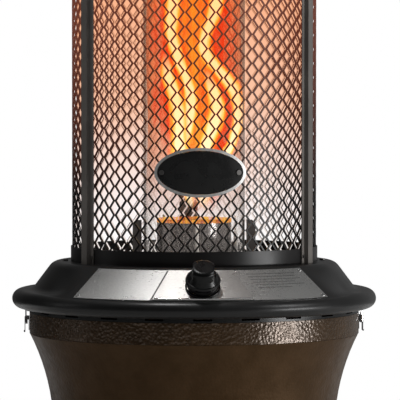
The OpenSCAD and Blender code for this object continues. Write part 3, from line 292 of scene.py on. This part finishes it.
BRONZE = hammered_bronze("hammered_bronze", 0.4, 0.08, 0.25)
BAND_BRONZE = hammered_bronze("band_bronze", 0.26, 0.6, 0.6)
COLLAR_BLACK = powder_black("collar_black", (0.01, 0.01, 0.01), 0.3, 0.38, 700)
GUARD_BLACK = powder_black("guard_black", (0.009, 0.008, 0.008), 0.3, 0.4, 900)
POST_GREY = powder_black("post_grey", (0.16, 0.147, 0.136), 0.34, 0.44, 900)
MESH_PAINTED_GLOW = mesh_with_painted_flame_light()
PANEL_STEEL = brushed_steel("panel_steel", (0.66, 0.655, 0.64), 0.3, (280, 420, 420), 0.8, 0.0007)
CONTROL_STEEL = brushed_steel("control_steel", (0.66, 0.65, 0.63), 0.3, (280, 420, 420), 0.8, 0.0005)
DRUM_STEEL = brushed_steel("drum_steel", (0.42, 0.4, 0.39), 0.2, (700, 700, 12), 0.03)
BADGE_SILVER = brushed_steel("badge_silver", (0.9, 0.9, 0.89), 0.4, (300, 300, 300), 0.04)
DARK_STEEL = brushed_steel("dark_steel", (0.2, 0.19, 0.185), 0.38, (300, 300, 60))
CHROME = smooth_metal("chrome", (0.78, 0.78, 0.78), 0.12)
BRASS = smooth_metal("brass", (0.62, 0.47, 0.22), 0.24)
RUBBER = moulded("rubber", (0.022, 0.022, 0.022), 0.75, grain=500)
KNOB_BLACK = moulded("knob_black", (0.004, 0.004, 0.004), 0.3, gloss=0.22)
BADGE_BLACK = moulded("badge_black", (0.014, 0.014, 0.014), 0.28, coat=0.3)
CERAMIC = moulded("ceramic", (0.82, 0.8, 0.76), 0.3, coat=0.4)
GLASS = clear_glass()
GASKET = woven_gasket()

FINISHES = {
    "bronze_paint": BRONZE,
    "black_paint": COLLAR_BLACK,
    "guard_paint": GUARD_BLACK,
    "panel_steel": PANEL_STEEL,
    "burner_steel": DRUM_STEEL,
    "dark_steel": DARK_STEEL,
    "chrome": CHROME,
    "brass": BRASS,
    "rubber": RUBBER,
    "knob_plastic": KNOB_BLACK,
    "badge_black": BADGE_BLACK,
    "ceramic": CERAMIC,
    "gasket": GASKET,
    "clear_glass": GLASS,
}


def set_material(obj, mat):
    obj.data.materials.clear()
    obj.data.materials.append(mat)


for part in frame["record"]["subparts"]:
    set_material(nodes_by_name[part["node"]], FINISHES[part["material_slot"]])
set_material(nodes_by_name["control_plate"], CONTROL_STEEL)
set_material(nodes_by_name["badge_frame"], BADGE_SILVER)
set_material(nodes_by_name["base_band"], BAND_BRONZE)
# The guard's strands get the black with painted flame light and painted glow
for side in ("front", "left", "right"):
    set_material(nodes_by_name["guard_mesh_" + side], MESH_PAINTED_GLOW)
for side in ("left", "right", "rear"):
    set_material(nodes_by_name["guard_post_" + side], POST_GREY)
nodes_by_name["glass_tube"].visible_shadow = False


# Mesh helpers


def mesh_object(name, verts, faces, mat, body, smooth=True):
    """A mesh piece that rides on a CAD body."""
    mesh = bpy.data.meshes.new(name)
    mesh.from_pydata(verts, [], faces)
    mesh.update()
    obj = bpy.data.objects.new(name, mesh)
    scene.collection.objects.link(obj)
    for polygon in mesh.polygons:
        polygon.use_smooth = smooth
    obj.data.materials.append(mat)
    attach(obj, body)
    return obj


def arc(centre, radius, a_from, a_to, steps):
    """Points on an arc in the (radius, height) plane, angles in degrees."""
    points = []
    for i in range(steps + 1):
        a = math.radians(a_from + (a_to - a_from) * i / steps)
        points.append((centre[0] + radius * math.cos(a), centre[1] + radius * math.sin(a)))
    return points


def resample(points, count):
    """The same path with evenly spaced points."""
    lengths = [0.0]
    for p, q in zip(points, points[1:]):
        lengths.append(lengths[-1] + math.dist(p, q))
    out = []
    k = 0
    for i in range(count):
        target = lengths[-1] * i / (count - 1)
        while k < len(points) - 2 and lengths[k + 1] < target:
            k += 1
        t = (target - lengths[k]) / max(lengths[k + 1] - lengths[k], 1e-9)
        out.append(tuple(a + (b - a) * t for a, b in zip(points[k], points[k + 1])))
    return out


def curve_value(a, b, c, d, t):
    """A cubic from b to c that leaves and arrives in line with a and d."""
    square = (2 * a - 5 * b + 4 * c - d) * t ** 2
    cube = (3 * b - a - 3 * c + d) * t ** 3
    return 0.5 * (2 * b + (c - a) * t + square + cube)


def smooth_path(points, steps=12):
    """A smooth curve through the points."""
    out = []
    last = len(points) - 1
    for i in range(last):
        p0, p1, p2, p3 = (points[min(max(k, 0), last)] for k in (i - 1, i, i + 1, i + 2))
        for j in range(steps):
            out.append(tuple(curve_value(*values, j / steps) for values in zip(p0, p1, p2, p3)))
    return out + [points[-1]]


def smoothstep(a, b, x):
    t = min(max((x - a) / (b - a), 0.0), 1.0)
    return t * t * (3 - 2 * t)


# Collar skin: the pressed sheet, whose flat front flows into the hollow sides

WALL_SLOPE = math.radians(53)
SHOULDER_ARC = 18 * MM
BRIM_ARC = 14 * MM
RIM_FULLER = 0.6 * MM
RIM_LIFT = 1.5 * RIM_FULLER
BRIM_TOP = RIM_RISE + RIM_R + RIM_FULLER + RIM_LIFT
RIM_END = -150
RIM_STEPS = 30
PRESSED_POINTS = 40
SKIN_STEPS = 288
CREASE = math.radians(50)
PANEL_EDGE = 46.5
FLOW_END = 66.0
UNDER_PLATE = 0.3 * MM


def side_wall():
    """Shoulder, wall and hollow of the collar's sides, from its flat top to the brim."""
    n = (math.sin(WALL_SLOPE), math.cos(WALL_SLOPE))
    shoulder = (SHOULDER_R, TOP - SHOULDER_ARC)
    wall_top = (shoulder[0] + SHOULDER_ARC * n[0], shoulder[1] + SHOULDER_ARC * n[1])
    hollow_z = BRIM_TOP + BRIM_ARC
    hollow = (wall_top[0] + (BRIM_ARC - n[1] * (hollow_z - wall_top[1])) / n[0], hollow_z)
    slope = math.degrees(WALL_SLOPE)
    points = arc(shoulder, SHOULDER_ARC, 90, 90 - slope, 12)
    points += arc(hollow, BRIM_ARC, 270 - slope, 270, 12)
    return points + [(RIM_CIRCLE_R - RIM_FULLER, BRIM_TOP)]


def front_wall():
    top = (PANEL_TOP_R, TOP - UNDER_PLATE)
    low = (PANEL_LOW_R, PANEL_LOW_Z - UNDER_PLATE)
    return [(SHOULDER_R, TOP), top, low]


def collar_profile(flow):
    """Closed outline of the sheet: flow is 0 on the flat front and 1 on the sides."""
    pressed = [
        (f[0] + (s[0] - f[0]) * flow, f[1] + (s[1] - f[1]) * flow)
        for f, s in zip(resample(front_wall(), PRESSED_POINTS), resample(side_wall(), PRESSED_POINTS))
    ]
    front_start = math.degrees(math.atan2(PANEL_LOW_Z - RIM_RISE, PANEL_LOW_R - RIM_CIRCLE_R))
    rim_start = front_start + (90 - front_start) * flow
    fuller = RIM_FULLER * flow
    rim_centre = (RIM_CIRCLE_R - fuller, RIM_RISE + RIM_LIFT * flow)
    outer = [(COLLAR_INNER_R, TOP)] + pressed
    outer += arc(rim_centre, RIM_R + fuller, rim_start, RIM_END, RIM_STEPS)[1:]
    inner = []
    for i, p in enumerate(outer):
        a = outer[max(i - 1, 0)]
        b = outer[min(i + 1, len(outer) - 1)]
        d = (b[0] - a[0], b[1] - a[1])
        length = math.hypot(*d)
        inner.append((p[0] + SHEET * d[1] / length, p[1] - SHEET * d[0] / length))
    return outer + inner[::-1]


def collar_skin():
    verts, faces = [], []
    count = len(collar_profile(0.0))
    for i in range(SKIN_STEPS):
        azimuth = -180 + 360 * i / SKIN_STEPS
        flow = smoothstep(PANEL_EDGE, FLOW_END, abs(azimuth))
        a = math.radians(azimuth)
        verts += [(r * math.sin(a), -r * math.cos(a), HEAD_LEVEL + z) for r, z in collar_profile(flow)]
    for i in range(SKIN_STEPS):
        j = (i + 1) % SKIN_STEPS
        for k in range(count):
            m = (k + 1) % count
            faces.append((i * count + k, j * count + k, j * count + m, i * count + m))
    obj = mesh_object("collar_skin", verts, faces, COLLAR_BLACK, "head")
    obj.data.set_sharp_from_angle(angle=CREASE)
    return obj


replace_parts(collar_skin(), "collar")


# Plain rulings, ticks, a strip of painted shade and a strip of painted highlight beside the raised plate,
# and a bead on the control panel


def panel_radius(s):
    return PANEL_TOP_R + s * math.cos(PANEL_SLOPE)


def panel_place(s, azimuth, h):
    """A point on the panel: s down its slope, h off its surface."""
    r = panel_radius(s) + h * math.sin(PANEL_SLOPE)
    z = TOP - s * math.sin(PANEL_SLOPE) + h * math.cos(PANEL_SLOPE)
    return (r * math.sin(azimuth), -r * math.cos(azimuth), HEAD_LEVEL + z)


def print_ink_and_painted_shade():
    mat, tree, s = material("print_ink_and_painted_shade")
    worn = noise(tree, object_coords(tree), 400, 3)
    full = (0.03, 0.03, 0.03)
    thin = (0.09, 0.09, 0.088)
    put(tree, s.inputs["Base Color"], ramp(tree, worn, (0.3, full), (0.8, thin)))
    s.inputs["Roughness"].default_value = 0.5
    return mat


# The same ink draws the print and the strip of painted shade beside the raised plate
INK_AND_PAINTED_SHADE = print_ink_and_painted_shade()
INK_LIFT = 0.12 * MM


def strip_on_panel(verts, faces, s, width, az_from, az_to, h, steps=16):
    base = len(verts)
    for i in range(steps + 1):
        a = math.radians(az_from + (az_to - az_from) * i / steps)
        verts += [panel_place(s, a, h), panel_place(s + width, a, h)]
    for i in range(steps):
        k = base + 2 * i
        faces.append((k, k + 1, k + 3, k + 2))


# Each ruling: millimetres down the panel, and the azimuths of its ends in degrees
RULINGS = ((15, 17, 39), (21, 17.5, 38), (27, 18, 39.5), (33, 18.5, 36), (39, 19, 39.5), (45, 19.5, 33))
RULING_W = 0.9 * MM


def panel_rulings():
    verts, faces = [], []
    for s, az_from, az_to in RULINGS:
        strip_on_panel(verts, faces, s * MM, RULING_W, az_from, az_to, PLATE_TOP + INK_LIFT)
    return mesh_object("panel_rulings", verts, faces, INK_AND_PAINTED_SHADE, "head", smooth=False)


TICK_FROM = 29 * MM
TICK_SHORT = 31.5 * MM
TICK_LONG = 33 * MM
TICK_HALF_W = 0.5 * MM
TICK_REACH = 150
TICK_STEP = 30
TICK_FOOT_ROOM = 8 * MM


def knob_ticks():
    """Short ticks round the knob, on the middle plate."""
    verts, faces = [], []
    for degrees in range(-TICK_REACH, TICK_REACH + 1, TICK_STEP):
        a = math.radians(degrees)
        base = len(verts)
        tick_to = TICK_LONG if degrees % 90 == 0 else TICK_SHORT
        for r, side in ((TICK_FROM, -1), (TICK_FROM, 1), (tick_to, 1), (tick_to, -1)):
            across = r * math.sin(a) + side * TICK_HALF_W * math.cos(a)
            s = KNOB_S - r * math.cos(a) + side * TICK_HALF_W * math.sin(a)
            verts.append(panel_place(s, across / panel_radius(s), CONTROL_TOP + INK_LIFT))
        if s > PANEL_LENGTH - TICK_FOOT_ROOM:
            del verts[base:]
            continue
        faces.append((base, base + 1, base + 2, base + 3))
    return mesh_object("knob_ticks", verts, faces, INK_AND_PAINTED_SHADE, "head", smooth=False)


CONTROL_TOP_W = 48 * MM
CONTROL_LOW_W = 77 * MM
CONTROL_S = (7 * MM, PANEL_LENGTH - 2.5 * MM)
# Gap and widths of the strips beside the raised middle plate: painted shade on its left side, painted
# highlight on its right
BORDER_GAP = 0.1 * MM
PAINTED_SHADE_W = 3.4 * MM
PAINTED_HIGHLIGHT_W = 1.4 * MM
BEAD_R = 1.1 * MM
BEAD_INSET = 1.3 * BEAD_R


def control_half_width(s):
    """Half width of the raised middle plate, s down the panel."""
    r_from, r_to = (panel_radius(end) for end in CONTROL_S)
    r = panel_radius(s)
    x = CONTROL_TOP_W
    for _ in range(4):
        depth = math.sqrt(r * r - x * x)
        x = CONTROL_TOP_W + (CONTROL_LOW_W - CONTROL_TOP_W) * (depth - r_from) / (r_to - r_from)
    return x


def control_border(name, side, width, mat, steps=14):
    """A flat strip along one side of the raised middle plate: dark ink there is painted shade on its shaded
    side, chrome a painted highlight on its lit side.
    """
    verts, faces = [], []
    for i in range(steps + 1):
        s = CONTROL_S[0] + (CONTROL_S[1] - CONTROL_S[0]) * i / steps
        for out in (BORDER_GAP, width):
            a = side * math.asin((control_half_width(s) + out) / panel_radius(s))
            verts.append(panel_place(s, a, PLATE_TOP + INK_LIFT))
    for i in range(steps):
        k = 2 * i
        faces.append((k, k + 1, k + 3, k + 2))
    return mesh_object(name, verts, faces, mat, "head", smooth=False)


def control_bead(steps=48, sides=8):
    """A polished half-round bead along the lower edge of the raised middle plate."""
    s = CONTROL_S[1] - BEAD_INSET
    reach = math.asin((control_half_width(s) - BEAD_R) / panel_radius(s))
    verts, faces = [], []
    for i in range(steps + 1):
        a = reach * (2 * i / steps - 1)
        for k in range(sides + 1):
            turn = math.pi * k / sides
            h = CONTROL_TOP + INK_LIFT + BEAD_R * math.sin(turn)
            verts.append(panel_place(s - BEAD_R * math.cos(turn), a, h))
    for i in range(steps):
        for k in range(sides):
            b = i * (sides + 1) + k
            faces.append((b, b + 1, b + sides + 2, b + sides + 1))
    return mesh_object("control_bead", verts, faces, CHROME, "head")


panel_rulings()
knob_ticks()
# Dark strip of painted shade on the raised plate's left edge, chrome strip of painted highlight on its right
# edge
control_border("control_painted_shade_left", -1, PAINTED_SHADE_W, INK_AND_PAINTED_SHADE)
control_border("control_painted_highlight_right", 1, PAINTED_HIGHLIGHT_W, CHROME)
control_bead()


# Flame: tongues of hot gas in the glass, a tinted sheet of painted glow round them, and a tinted sheet of
# painted warm light that fills the guard

HOT = (1.0, 0.96, 0.66)
YELLOW = (1.0, 0.56, 0.06)
ORANGE = (1.0, 0.36, 0.05)
RED = (0.86, 0.08, 0.012)


def glow_output(tree, colour, strength, alpha):
    """Emission that lets through what alpha leaves."""
    glow = node(tree, "ShaderNodeEmission", Color=colour, Strength=strength)
    clear = tree.nodes.new("ShaderNodeBsdfTransparent")
    mix = node(tree, "ShaderNodeMixShader", Fac=alpha)
    tree.links.new(clear.outputs["BSDF"], mix.inputs[1])
    tree.links.new(glow.outputs["Emission"], mix.inputs[2])
    out = tree.nodes.new("ShaderNodeOutputMaterial")
    tree.links.new(mix.outputs["Shader"], out.inputs["Surface"])


def bare_material(name):
    mat = bpy.data.materials.new(name)
    mat.use_nodes = True
    mat.node_tree.nodes.clear()
    return mat, mat.node_tree


def flame_material(name, strength, stops, ragged, solid):
    """Colours run from a tongue's edges to its middle; solid is how soon it turns opaque."""
    mat, tree = bare_material(name)
    uv = tree.nodes.new("ShaderNodeUVMap")
    uv.uv_map = "UVMap"
    place = node(tree, "ShaderNodeSeparateXYZ", Vector=uv.outputs["UV"])
    across = math_node(tree, "ABSOLUTE", math_node(tree, "SUBTRACT", place.outputs["X"], 0.5))
    middle = remap(tree, across, 0.5, 0.0, 0.0, 1.0)
    streaks = noise(tree, object_coords(tree, (1, 1, 0.28)), 70, 3, 0.55, 0.8)
    swing = math_node(tree, "MULTIPLY", math_node(tree, "SUBTRACT", streaks, 0.5), ragged)
    glow_amount = math_node(tree, "ADD", middle, swing)
    foot = remap(tree, place.outputs["Y"], 0.0, 0.15, 0.0, 1.0)
    tip = remap(tree, place.outputs["Y"], 1.0, 0.85, 0.0, 1.0)
    body = remap(tree, glow_amount, 0.02, solid, 0.0, 1.0)
    alpha = math_node(tree, "MULTIPLY", body, math_node(tree, "MULTIPLY", foot, tip))
    glow_output(tree, ramp(tree, glow_amount, *stops), strength, alpha)
    return mat


def glow_tint_material(name, low, high, stops):
    """A tinted sheet of painted glow that tints what is seen through it; stops are (part of the height,
    tint).
    """
    mat, tree = bare_material(name)
    z = node(tree, "ShaderNodeSeparateXYZ", Vector=object_coords(tree)).outputs["Z"]
    drift = math_node(tree, "MULTIPLY", noise(tree, object_coords(tree, (1, 1, 0.4)), 14, 3), 0.1)
    drift = math_node(tree, "SUBTRACT", drift, 0.05)
    height = math_node(tree, "ADD", remap(tree, z, low, high, 0.0, 1.0), drift)
    tint = node(tree, "ShaderNodeBsdfTransparent", Color=ramp(tree, height, *stops))
    out = tree.nodes.new("ShaderNodeOutputMaterial")
    tree.links.new(tint.outputs["BSDF"], out.inputs["Surface"])
    return mat


def only_seen(obj):
    """Glow is seen, but lamps do its lighting."""
    obj.visible_diffuse = False
    obj.visible_glossy = False
    obj.visible_shadow = False


def with_uv(obj, uvs):
    layer = obj.data.uv_layers.new(name="UVMap")
    for loop in obj.data.loops:
        layer.data[loop.index].uv = uvs[loop.vertex_index]


# Parts of the half width: how far a tongue spreads aside, and how far its middle bulges outward
TONGUE_SPREAD = 1.25
TONGUE_BULGE = 0.4


def tongue(name, path, mat, facing, rows=64, columns=10):
    """A bulged sheet along (x, y, z, half width) in millimetres, turned to an azimuth."""
    a = math.radians(facing)
    side = Vector((math.cos(a), math.sin(a), 0))
    out = Vector((math.sin(a), -math.cos(a), 0))
    points = resample(smooth_path(path), rows + 1)
    verts, faces, uvs = [], [], []
    for i, (x, y, z, w) in enumerate(points):
        for k in range(columns + 1):
            u = k / columns
            t = 2 * u - 1
            bulge = (1 - t * t) * TONGUE_BULGE * w
            p = Vector((x, y, z)) + side * (t * TONGUE_SPREAD * w) + out * bulge
            verts.append(tuple(p * MM))
            uvs.append((u, i / rows))
    for i in range(rows):
        for k in range(columns):
            b = i * (columns + 1) + k
            faces.append((b, b + 1, b + columns + 2, b + columns + 1))
    obj = mesh_object(name, verts, faces, mat, "head")
    with_uv(obj, uvs)
    only_seen(obj)


FLAME_BRIGHT = flame_material(
    "flame_bright", 1.9, ((0.0, RED), (0.16, ORANGE), (0.36, YELLOW), (0.66, HOT)), 0.6, 0.4
)
FLAME_DEEP = flame_material(
    "flame_deep", 1.1, ((0.1, RED), (0.5, RED), (0.8, ORANGE), (1.0, YELLOW)), 1.0, 0.4
)

# Middle lines of the tongues: x, y, z and half width in millimetres, from foot to tip
LEFT_TONGUE = (
    (-9, -24, 736, 4), (-18, -28, 780, 8), (-21, -30, 817, 11), (-12, -30, 854, 12), (-6, -30, 891, 10),
    (-12, -30, 921, 9), (-24, -30, 950, 9), (-34, -26, 988, 10), (-33, -24, 1024, 12), (-30, -20, 1084, 9),
    (-24, -16, 1143, 3),
)
RIGHT_TONGUE = (
    (12, -24, 732, 4), (23, -26, 766, 8), (41, -24, 803, 9), (56, -16, 832, 8), (64, -10, 862, 8),
    (62, -12, 894, 10), (50, -20, 918, 13), (27, -28, 943, 13), (13, -30, 965, 11), (16, -30, 988, 10),
    (29, -26, 1024, 12), (35, -20, 1069, 10), (32, -14, 1128, 3),
)
RIGHT_LOBE = (
    (9, -34, 736, 4), (13, -36, 788, 9), (16, -38, 825, 12), (26, -36, 854, 14), (32, -34, 880, 13),
    (26, -34, 906, 11), (16, -34, 936, 5),
)
LEFT_LOBE = (
    (-6, -34, 732, 4), (-15, -36, 780, 10), (-24, -36, 825, 12), (-24, -36, 862, 12), (-30, -34, 899, 11),
    (-40, -30, 933, 10), (-44, -26, 962, 4),
)
CORE = (
    (13, 2, 722, 12), (14, 2, 788, 36), (4, 2, 847, 50), (0, 2, 921, 52), (0, 2, 1010, 50), (0, 2, 1090, 38),
    (0, 2, 1150, 10),
)
REAR_TONGUE = ((4, 30, 732, 6), (-22, 32, 810, 14), (18, 32, 900, 15), (-16, 28, 990, 14), (10, 20, 1110, 4))
# The side tongues stand behind the front ones and face sideways
SIDE_TONGUE_Y = 14
LEFT_SIDE_TONGUE = tuple((x, SIDE_TONGUE_Y, z, w) for x, _, z, w in LEFT_TONGUE)
RIGHT_SIDE_TONGUE = tuple((x, SIDE_TONGUE_Y, z, w) for x, _, z, w in RIGHT_TONGUE)

tongue("flame_core", CORE, FLAME_DEEP, 0)
tongue("flame_left", LEFT_TONGUE, FLAME_BRIGHT, 0)
tongue("flame_right", RIGHT_TONGUE, FLAME_BRIGHT, 0)
tongue("flame_right_lobe", RIGHT_LOBE, FLAME_BRIGHT, 0)
tongue("flame_left_lobe", LEFT_LOBE, FLAME_BRIGHT, 0)
tongue("flame_rear", REAR_TONGUE, FLAME_BRIGHT, 180)
tongue("flame_side_left", LEFT_SIDE_TONGUE, FLAME_BRIGHT, -90)
tongue("flame_side_right", RIGHT_SIDE_TONGUE, FLAME_BRIGHT, 90)


def rippled_tube(name, radius, low, high, mat, ripple=0.012, steps=72, rows=24):
    """A rippled open tube that glows or tints."""
    verts, faces = [], []
    for i in range(rows + 1):
        v = i / rows
        for k in range(steps):
            a = 2 * math.pi * k / steps
            r = radius * (1 + ripple * math.sin(3 * a + 9 * v) + ripple * math.sin(2 * a - 15 * v))
            verts.append((r * math.sin(a), -r * math.cos(a), low + (high - low) * v))
    for i in range(rows):
        for k in range(steps):
            m = (k + 1) % steps
            faces.append((i * steps + k, i * steps + m, (i + 1) * steps + m, (i + 1) * steps + k))
    only_seen(mesh_object(name, verts, faces, mat, "head"))


# Painted glow: a peach and orange tinted sheet round the flame in the glass, and one inside the guard for
# painted warm light
PAINTED_GLASS_GLOW_R = 70 * MM
WARM_LIGHT_R = 174 * MM
WARM_LIGHT_INSET = 6 * MM
GLOW_TINT_LOW = DRUM_TOP - 4 * MM
GLOW_TINT_TOP = GLASS_TOP - 12 * MM
PAINTED_GLASS_GLOW = glow_tint_material(
    "painted_glass_glow", GLOW_TINT_LOW, GLOW_TINT_TOP,
    (
        (0.0, (1, 1, 1)), (0.09, (0.98, 0.92, 0.9)), (0.25, (0.99, 0.78, 0.68)), (0.41, (1, 0.68, 0.52)),
        (0.85, (1, 0.66, 0.48)), (1.0, (1, 0.9, 0.8)),
    ),
)
rippled_tube("painted_glass_glow", PAINTED_GLASS_GLOW_R, GLOW_TINT_LOW, GLOW_TINT_TOP, PAINTED_GLASS_GLOW)
# A tinted sheet inside the guard: painted warm light of the flame, white at the foot and peach higher up
WARM_LIGHT = glow_tint_material(
    "warm_light", GUARD_LOW, GUARD_TOP,
    (
        (0.04, (1, 1, 1)), (0.16, (0.99, 0.945, 0.935)), (0.3, (0.985, 0.85, 0.79)),
        (0.45, (0.99, 0.75, 0.62)), (0.75, (1, 0.69, 0.52)), (0.97, (1, 0.88, 0.8)),
    ),
)
WARM_LIGHT_LOW = GUARD_LOW + WARM_LIGHT_INSET
WARM_LIGHT_TOP = GUARD_TOP - WARM_LIGHT_INSET
rippled_tube("warm_light", WARM_LIGHT_R, WARM_LIGHT_LOW, WARM_LIGHT_TOP, WARM_LIGHT, ripple=0.004)


# Burner drum: the igniter's white sleeve on its front, and the row of small flames on its rim

DRUM_R = 55 * MM
DRUM_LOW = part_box("burner_drum")[0][2]
SLEEVE_AZIMUTH = math.radians(1.0)
SLEEVE_R = 2.8 * MM
SLEEVE_GAP = 0.2 * MM
SLEEVE_INSET = 2 * MM


def igniter_sleeve(steps=20):
    """A glazed tube that leans on the drum, with rounded ends."""
    centre = DRUM_R + SLEEVE_R + SLEEVE_GAP
    low = DRUM_LOW + SLEEVE_INSET
    high = DRUM_TOP - SLEEVE_INSET
    ends = [(math.sin(math.radians(a)), 1 - math.cos(math.radians(a))) for a in range(0, 91, 15)]
    rings = [(low + SLEEVE_R * h, SLEEVE_R * w) for w, h in ends]
    rings += [(high - SLEEVE_R * h, SLEEVE_R * w) for w, h in reversed(ends)]
    x = centre * math.sin(SLEEVE_AZIMUTH)
    y = -centre * math.cos(SLEEVE_AZIMUTH)
    turns = [2 * math.pi * k / steps for k in range(steps)]
    verts = [(x, y, low)]
    for z, r in rings[1:-1]:
        verts += [(x + r * math.cos(a), y + r * math.sin(a), z) for a in turns]
    verts.append((x, y, high))
    faces = []
    for k in range(steps):
        m = (k + 1) % steps
        faces.append((0, 1 + m, 1 + k))
        for i in range(len(rings) - 3):
            b = 1 + i * steps
            faces.append((b + k, b + m, b + steps + m, b + steps + k))
        last = len(verts) - 1
        faces.append((last, last - steps + k, last - steps + m))
    mesh_object("igniter_sleeve", verts, faces, CERAMIC, "head")


def rim_flame_material():
    mat, tree = bare_material("rim_flame")
    licks = noise(tree, object_coords(tree, (1, 1, 0.5)), 160, 3)
    colour = ramp(tree, licks, (0.35, RED), (0.5, ORANGE), (0.65, YELLOW))
    glow_output(tree, colour, 0.9, remap(tree, licks, 0.32, 0.6, 0.3, 0.95))
    return mat


igniter_sleeve()
RIM_FLAMES_R = DRUM_R + 0.4 * MM
RIM_FLAMES_LOW = DRUM_TOP - 1 * MM
RIM_FLAMES_TOP = DRUM_TOP + 4.5 * MM
rippled_tube("rim_flames", RIM_FLAMES_R, RIM_FLAMES_LOW, RIM_FLAMES_TOP, rim_flame_material(), ripple=0.002, rows=3)


# Stage


def world():
    """A white backdrop, which metal and glass show too, and a dark room in front of it."""
    w = bpy.data.worlds.new("studio")
    scene.world = w
    w.use_nodes = True
    tree = w.node_tree
    background = tree.nodes["Background"]
    coords = tree.nodes.new("ShaderNodeTexCoord").outputs["Generated"]
    direction = node(tree, "ShaderNodeSeparateXYZ", Vector=coords)
    aside = math_node(tree, "MULTIPLY", direction.outputs["X"], 0.66)
    toward = math_node(tree, "ADD", math_node(tree, "MULTIPLY", direction.outputs["Y"], 0.75), aside)
    back = remap(tree, toward, 0.3, 0.95, 0.03, 0.2)
    overhead = remap(tree, direction.outputs["Z"], 0.5, 0.95, 0.0, 0.3)
    room = math_node(tree, "MAXIMUM", back, overhead)
    path = tree.nodes.new("ShaderNodeLightPath")
    straight = math_node(tree, "LESS_THAN", path.outputs["Glossy Depth"], 0.5)
    through = math_node(tree, "MULTIPLY", path.outputs["Is Transmission Ray"], straight)
    seen = math_node(tree, "MAXIMUM", path.outputs["Is Camera Ray"], through)
    paler = remap(tree, toward, 0.5, 0.95, 0.0, 0.25)
    mirrored = math_node(tree, "MULTIPLY", path.outputs["Is Glossy Ray"], paler)
    seen = math_node(tree, "MAXIMUM", seen, mirrored)
    put(tree, background.inputs["Color"], (1, 1, 1, 1))
    put(tree, background.inputs["Strength"], math_node(tree, "MAXIMUM", room, seen))


FLOOR_R = 2.6
FLOOR_FADE = 1.2


def floor():
    """A pale disc that keeps the heater's shadow and fades to white at its edge."""
    mesh = bpy.data.meshes.new("floor")
    bm = bmesh.new()
    bmesh.ops.create_circle(bm, cap_ends=True, radius=FLOOR_R, segments=96)
    bm.to_mesh(mesh)
    bm.free()
    obj = bpy.data.objects.new("floor", mesh)
    scene.collection.objects.link(obj)
    mat, tree, s = material("floor")
    s.inputs["Base Color"].default_value = (0.82, 0.82, 0.81, 1)
    s.inputs["Roughness"].default_value = 0.8
    coords = tree.nodes.new("ShaderNodeTexCoord").outputs["Object"]
    reach = node(tree, "ShaderNodeVectorMath", Vector=coords)
    reach.operation = "LENGTH"
    fade = remap(tree, reach.outputs["Value"], FLOOR_FADE, FLOOR_R, 0.0, 1.0)
    white = node(tree, "ShaderNodeEmission", Color=(1, 1, 1, 1), Strength=1.0)
    mix = node(tree, "ShaderNodeMixShader", Fac=fade)
    tree.links.new(s.outputs["BSDF"], mix.inputs[1])
    tree.links.new(white.outputs["Emission"], mix.inputs[2])
    tree.links.new(mix.outputs["Shader"], tree.nodes["Material Output"].inputs["Surface"])
    obj.data.materials.append(mat)


def area_lamp(name, place, target, size, power):
    data = bpy.data.lights.new(name, "AREA")
    data.shape = "RECTANGLE"
    data.size, data.size_y = size
    data.energy = power
    obj = bpy.data.objects.new(name, data)
    obj.location = place
    obj.rotation_euler = (Vector(target) - Vector(place)).to_track_quat("-Z", "Y").to_euler()
    scene.collection.objects.link(obj)


def flame_lamp(name, height, power):
    data = bpy.data.lights.new(name, "POINT")
    data.energy = power
    data.color = (1.0, 0.42, 0.14)
    data.shadow_soft_size = 0.03
    obj = bpy.data.objects.new(name, data)
    obj.location = (0, 0, height)
    obj.visible_camera = False
    obj.visible_glossy = False
    obj.visible_transmission = False
    scene.collection.objects.link(obj)


world()
floor()
area_lamp("key_right", (2.6, -1.35, 2.3), (0, 0, 0.7), (0.9, 1.2), 31)
area_lamp("key_low", (2.6, -1.35, 0.3), (0, 0, 0.5), (1.2, 0.24), 37)
area_lamp("fill_left", (-2.8, 0.0, 1.3), (0, 0, 0.6), (0.4, 1.4), 2.5)
area_lamp("overhead", (-0.44, -0.47, 2.96), (0, -0.23, 0.63), (0.35, 0.35), 24)
flame_lamp("flame_light", 1.06, 3.0)


# Camera

CAMERA_DISTANCE = 5.03
CAMERA_AZIMUTH = -2.9
CAMERA_ABOVE_HEAD = 0.343
CAMERA_HEIGHT = HEAD_LEVEL + CAMERA_ABOVE_HEAD
SENSOR = 36
# In pixels of the photograph: its width, the focal length, and how far from its middle
# the horizon lies above and the heater's axis to the left
IMAGE_PIXELS = 400
FOCAL_PIXELS = 3400
HORIZON_PIXELS = 135
AXIS_PIXELS = 5.9
LENS = SENSOR * FOCAL_PIXELS / IMAGE_PIXELS
PITCH_DOWN = math.atan(HORIZON_PIXELS / FOCAL_PIXELS)
TURN_ASIDE = math.atan(AXIS_PIXELS / FOCAL_PIXELS)


def camera():
    data = bpy.data.cameras.new("camera")
    data.lens = LENS
    data.sensor_width = SENSOR
    data.clip_end = 50
    obj = bpy.data.objects.new("camera", data)
    a = math.radians(CAMERA_AZIMUTH)
    obj.location = (CAMERA_DISTANCE * math.sin(a), -CAMERA_DISTANCE * math.cos(a), CAMERA_HEIGHT)
    yaw = Matrix.Rotation(a - TURN_ASIDE, 4, "Z")
    pitch = Matrix.Rotation(math.pi / 2 - PITCH_DOWN, 4, "X")
    obj.rotation_euler = (yaw @ pitch).to_euler()
    scene.collection.objects.link(obj)
    scene.camera = obj


camera()
scene.view_settings.view_transform = "Standard"
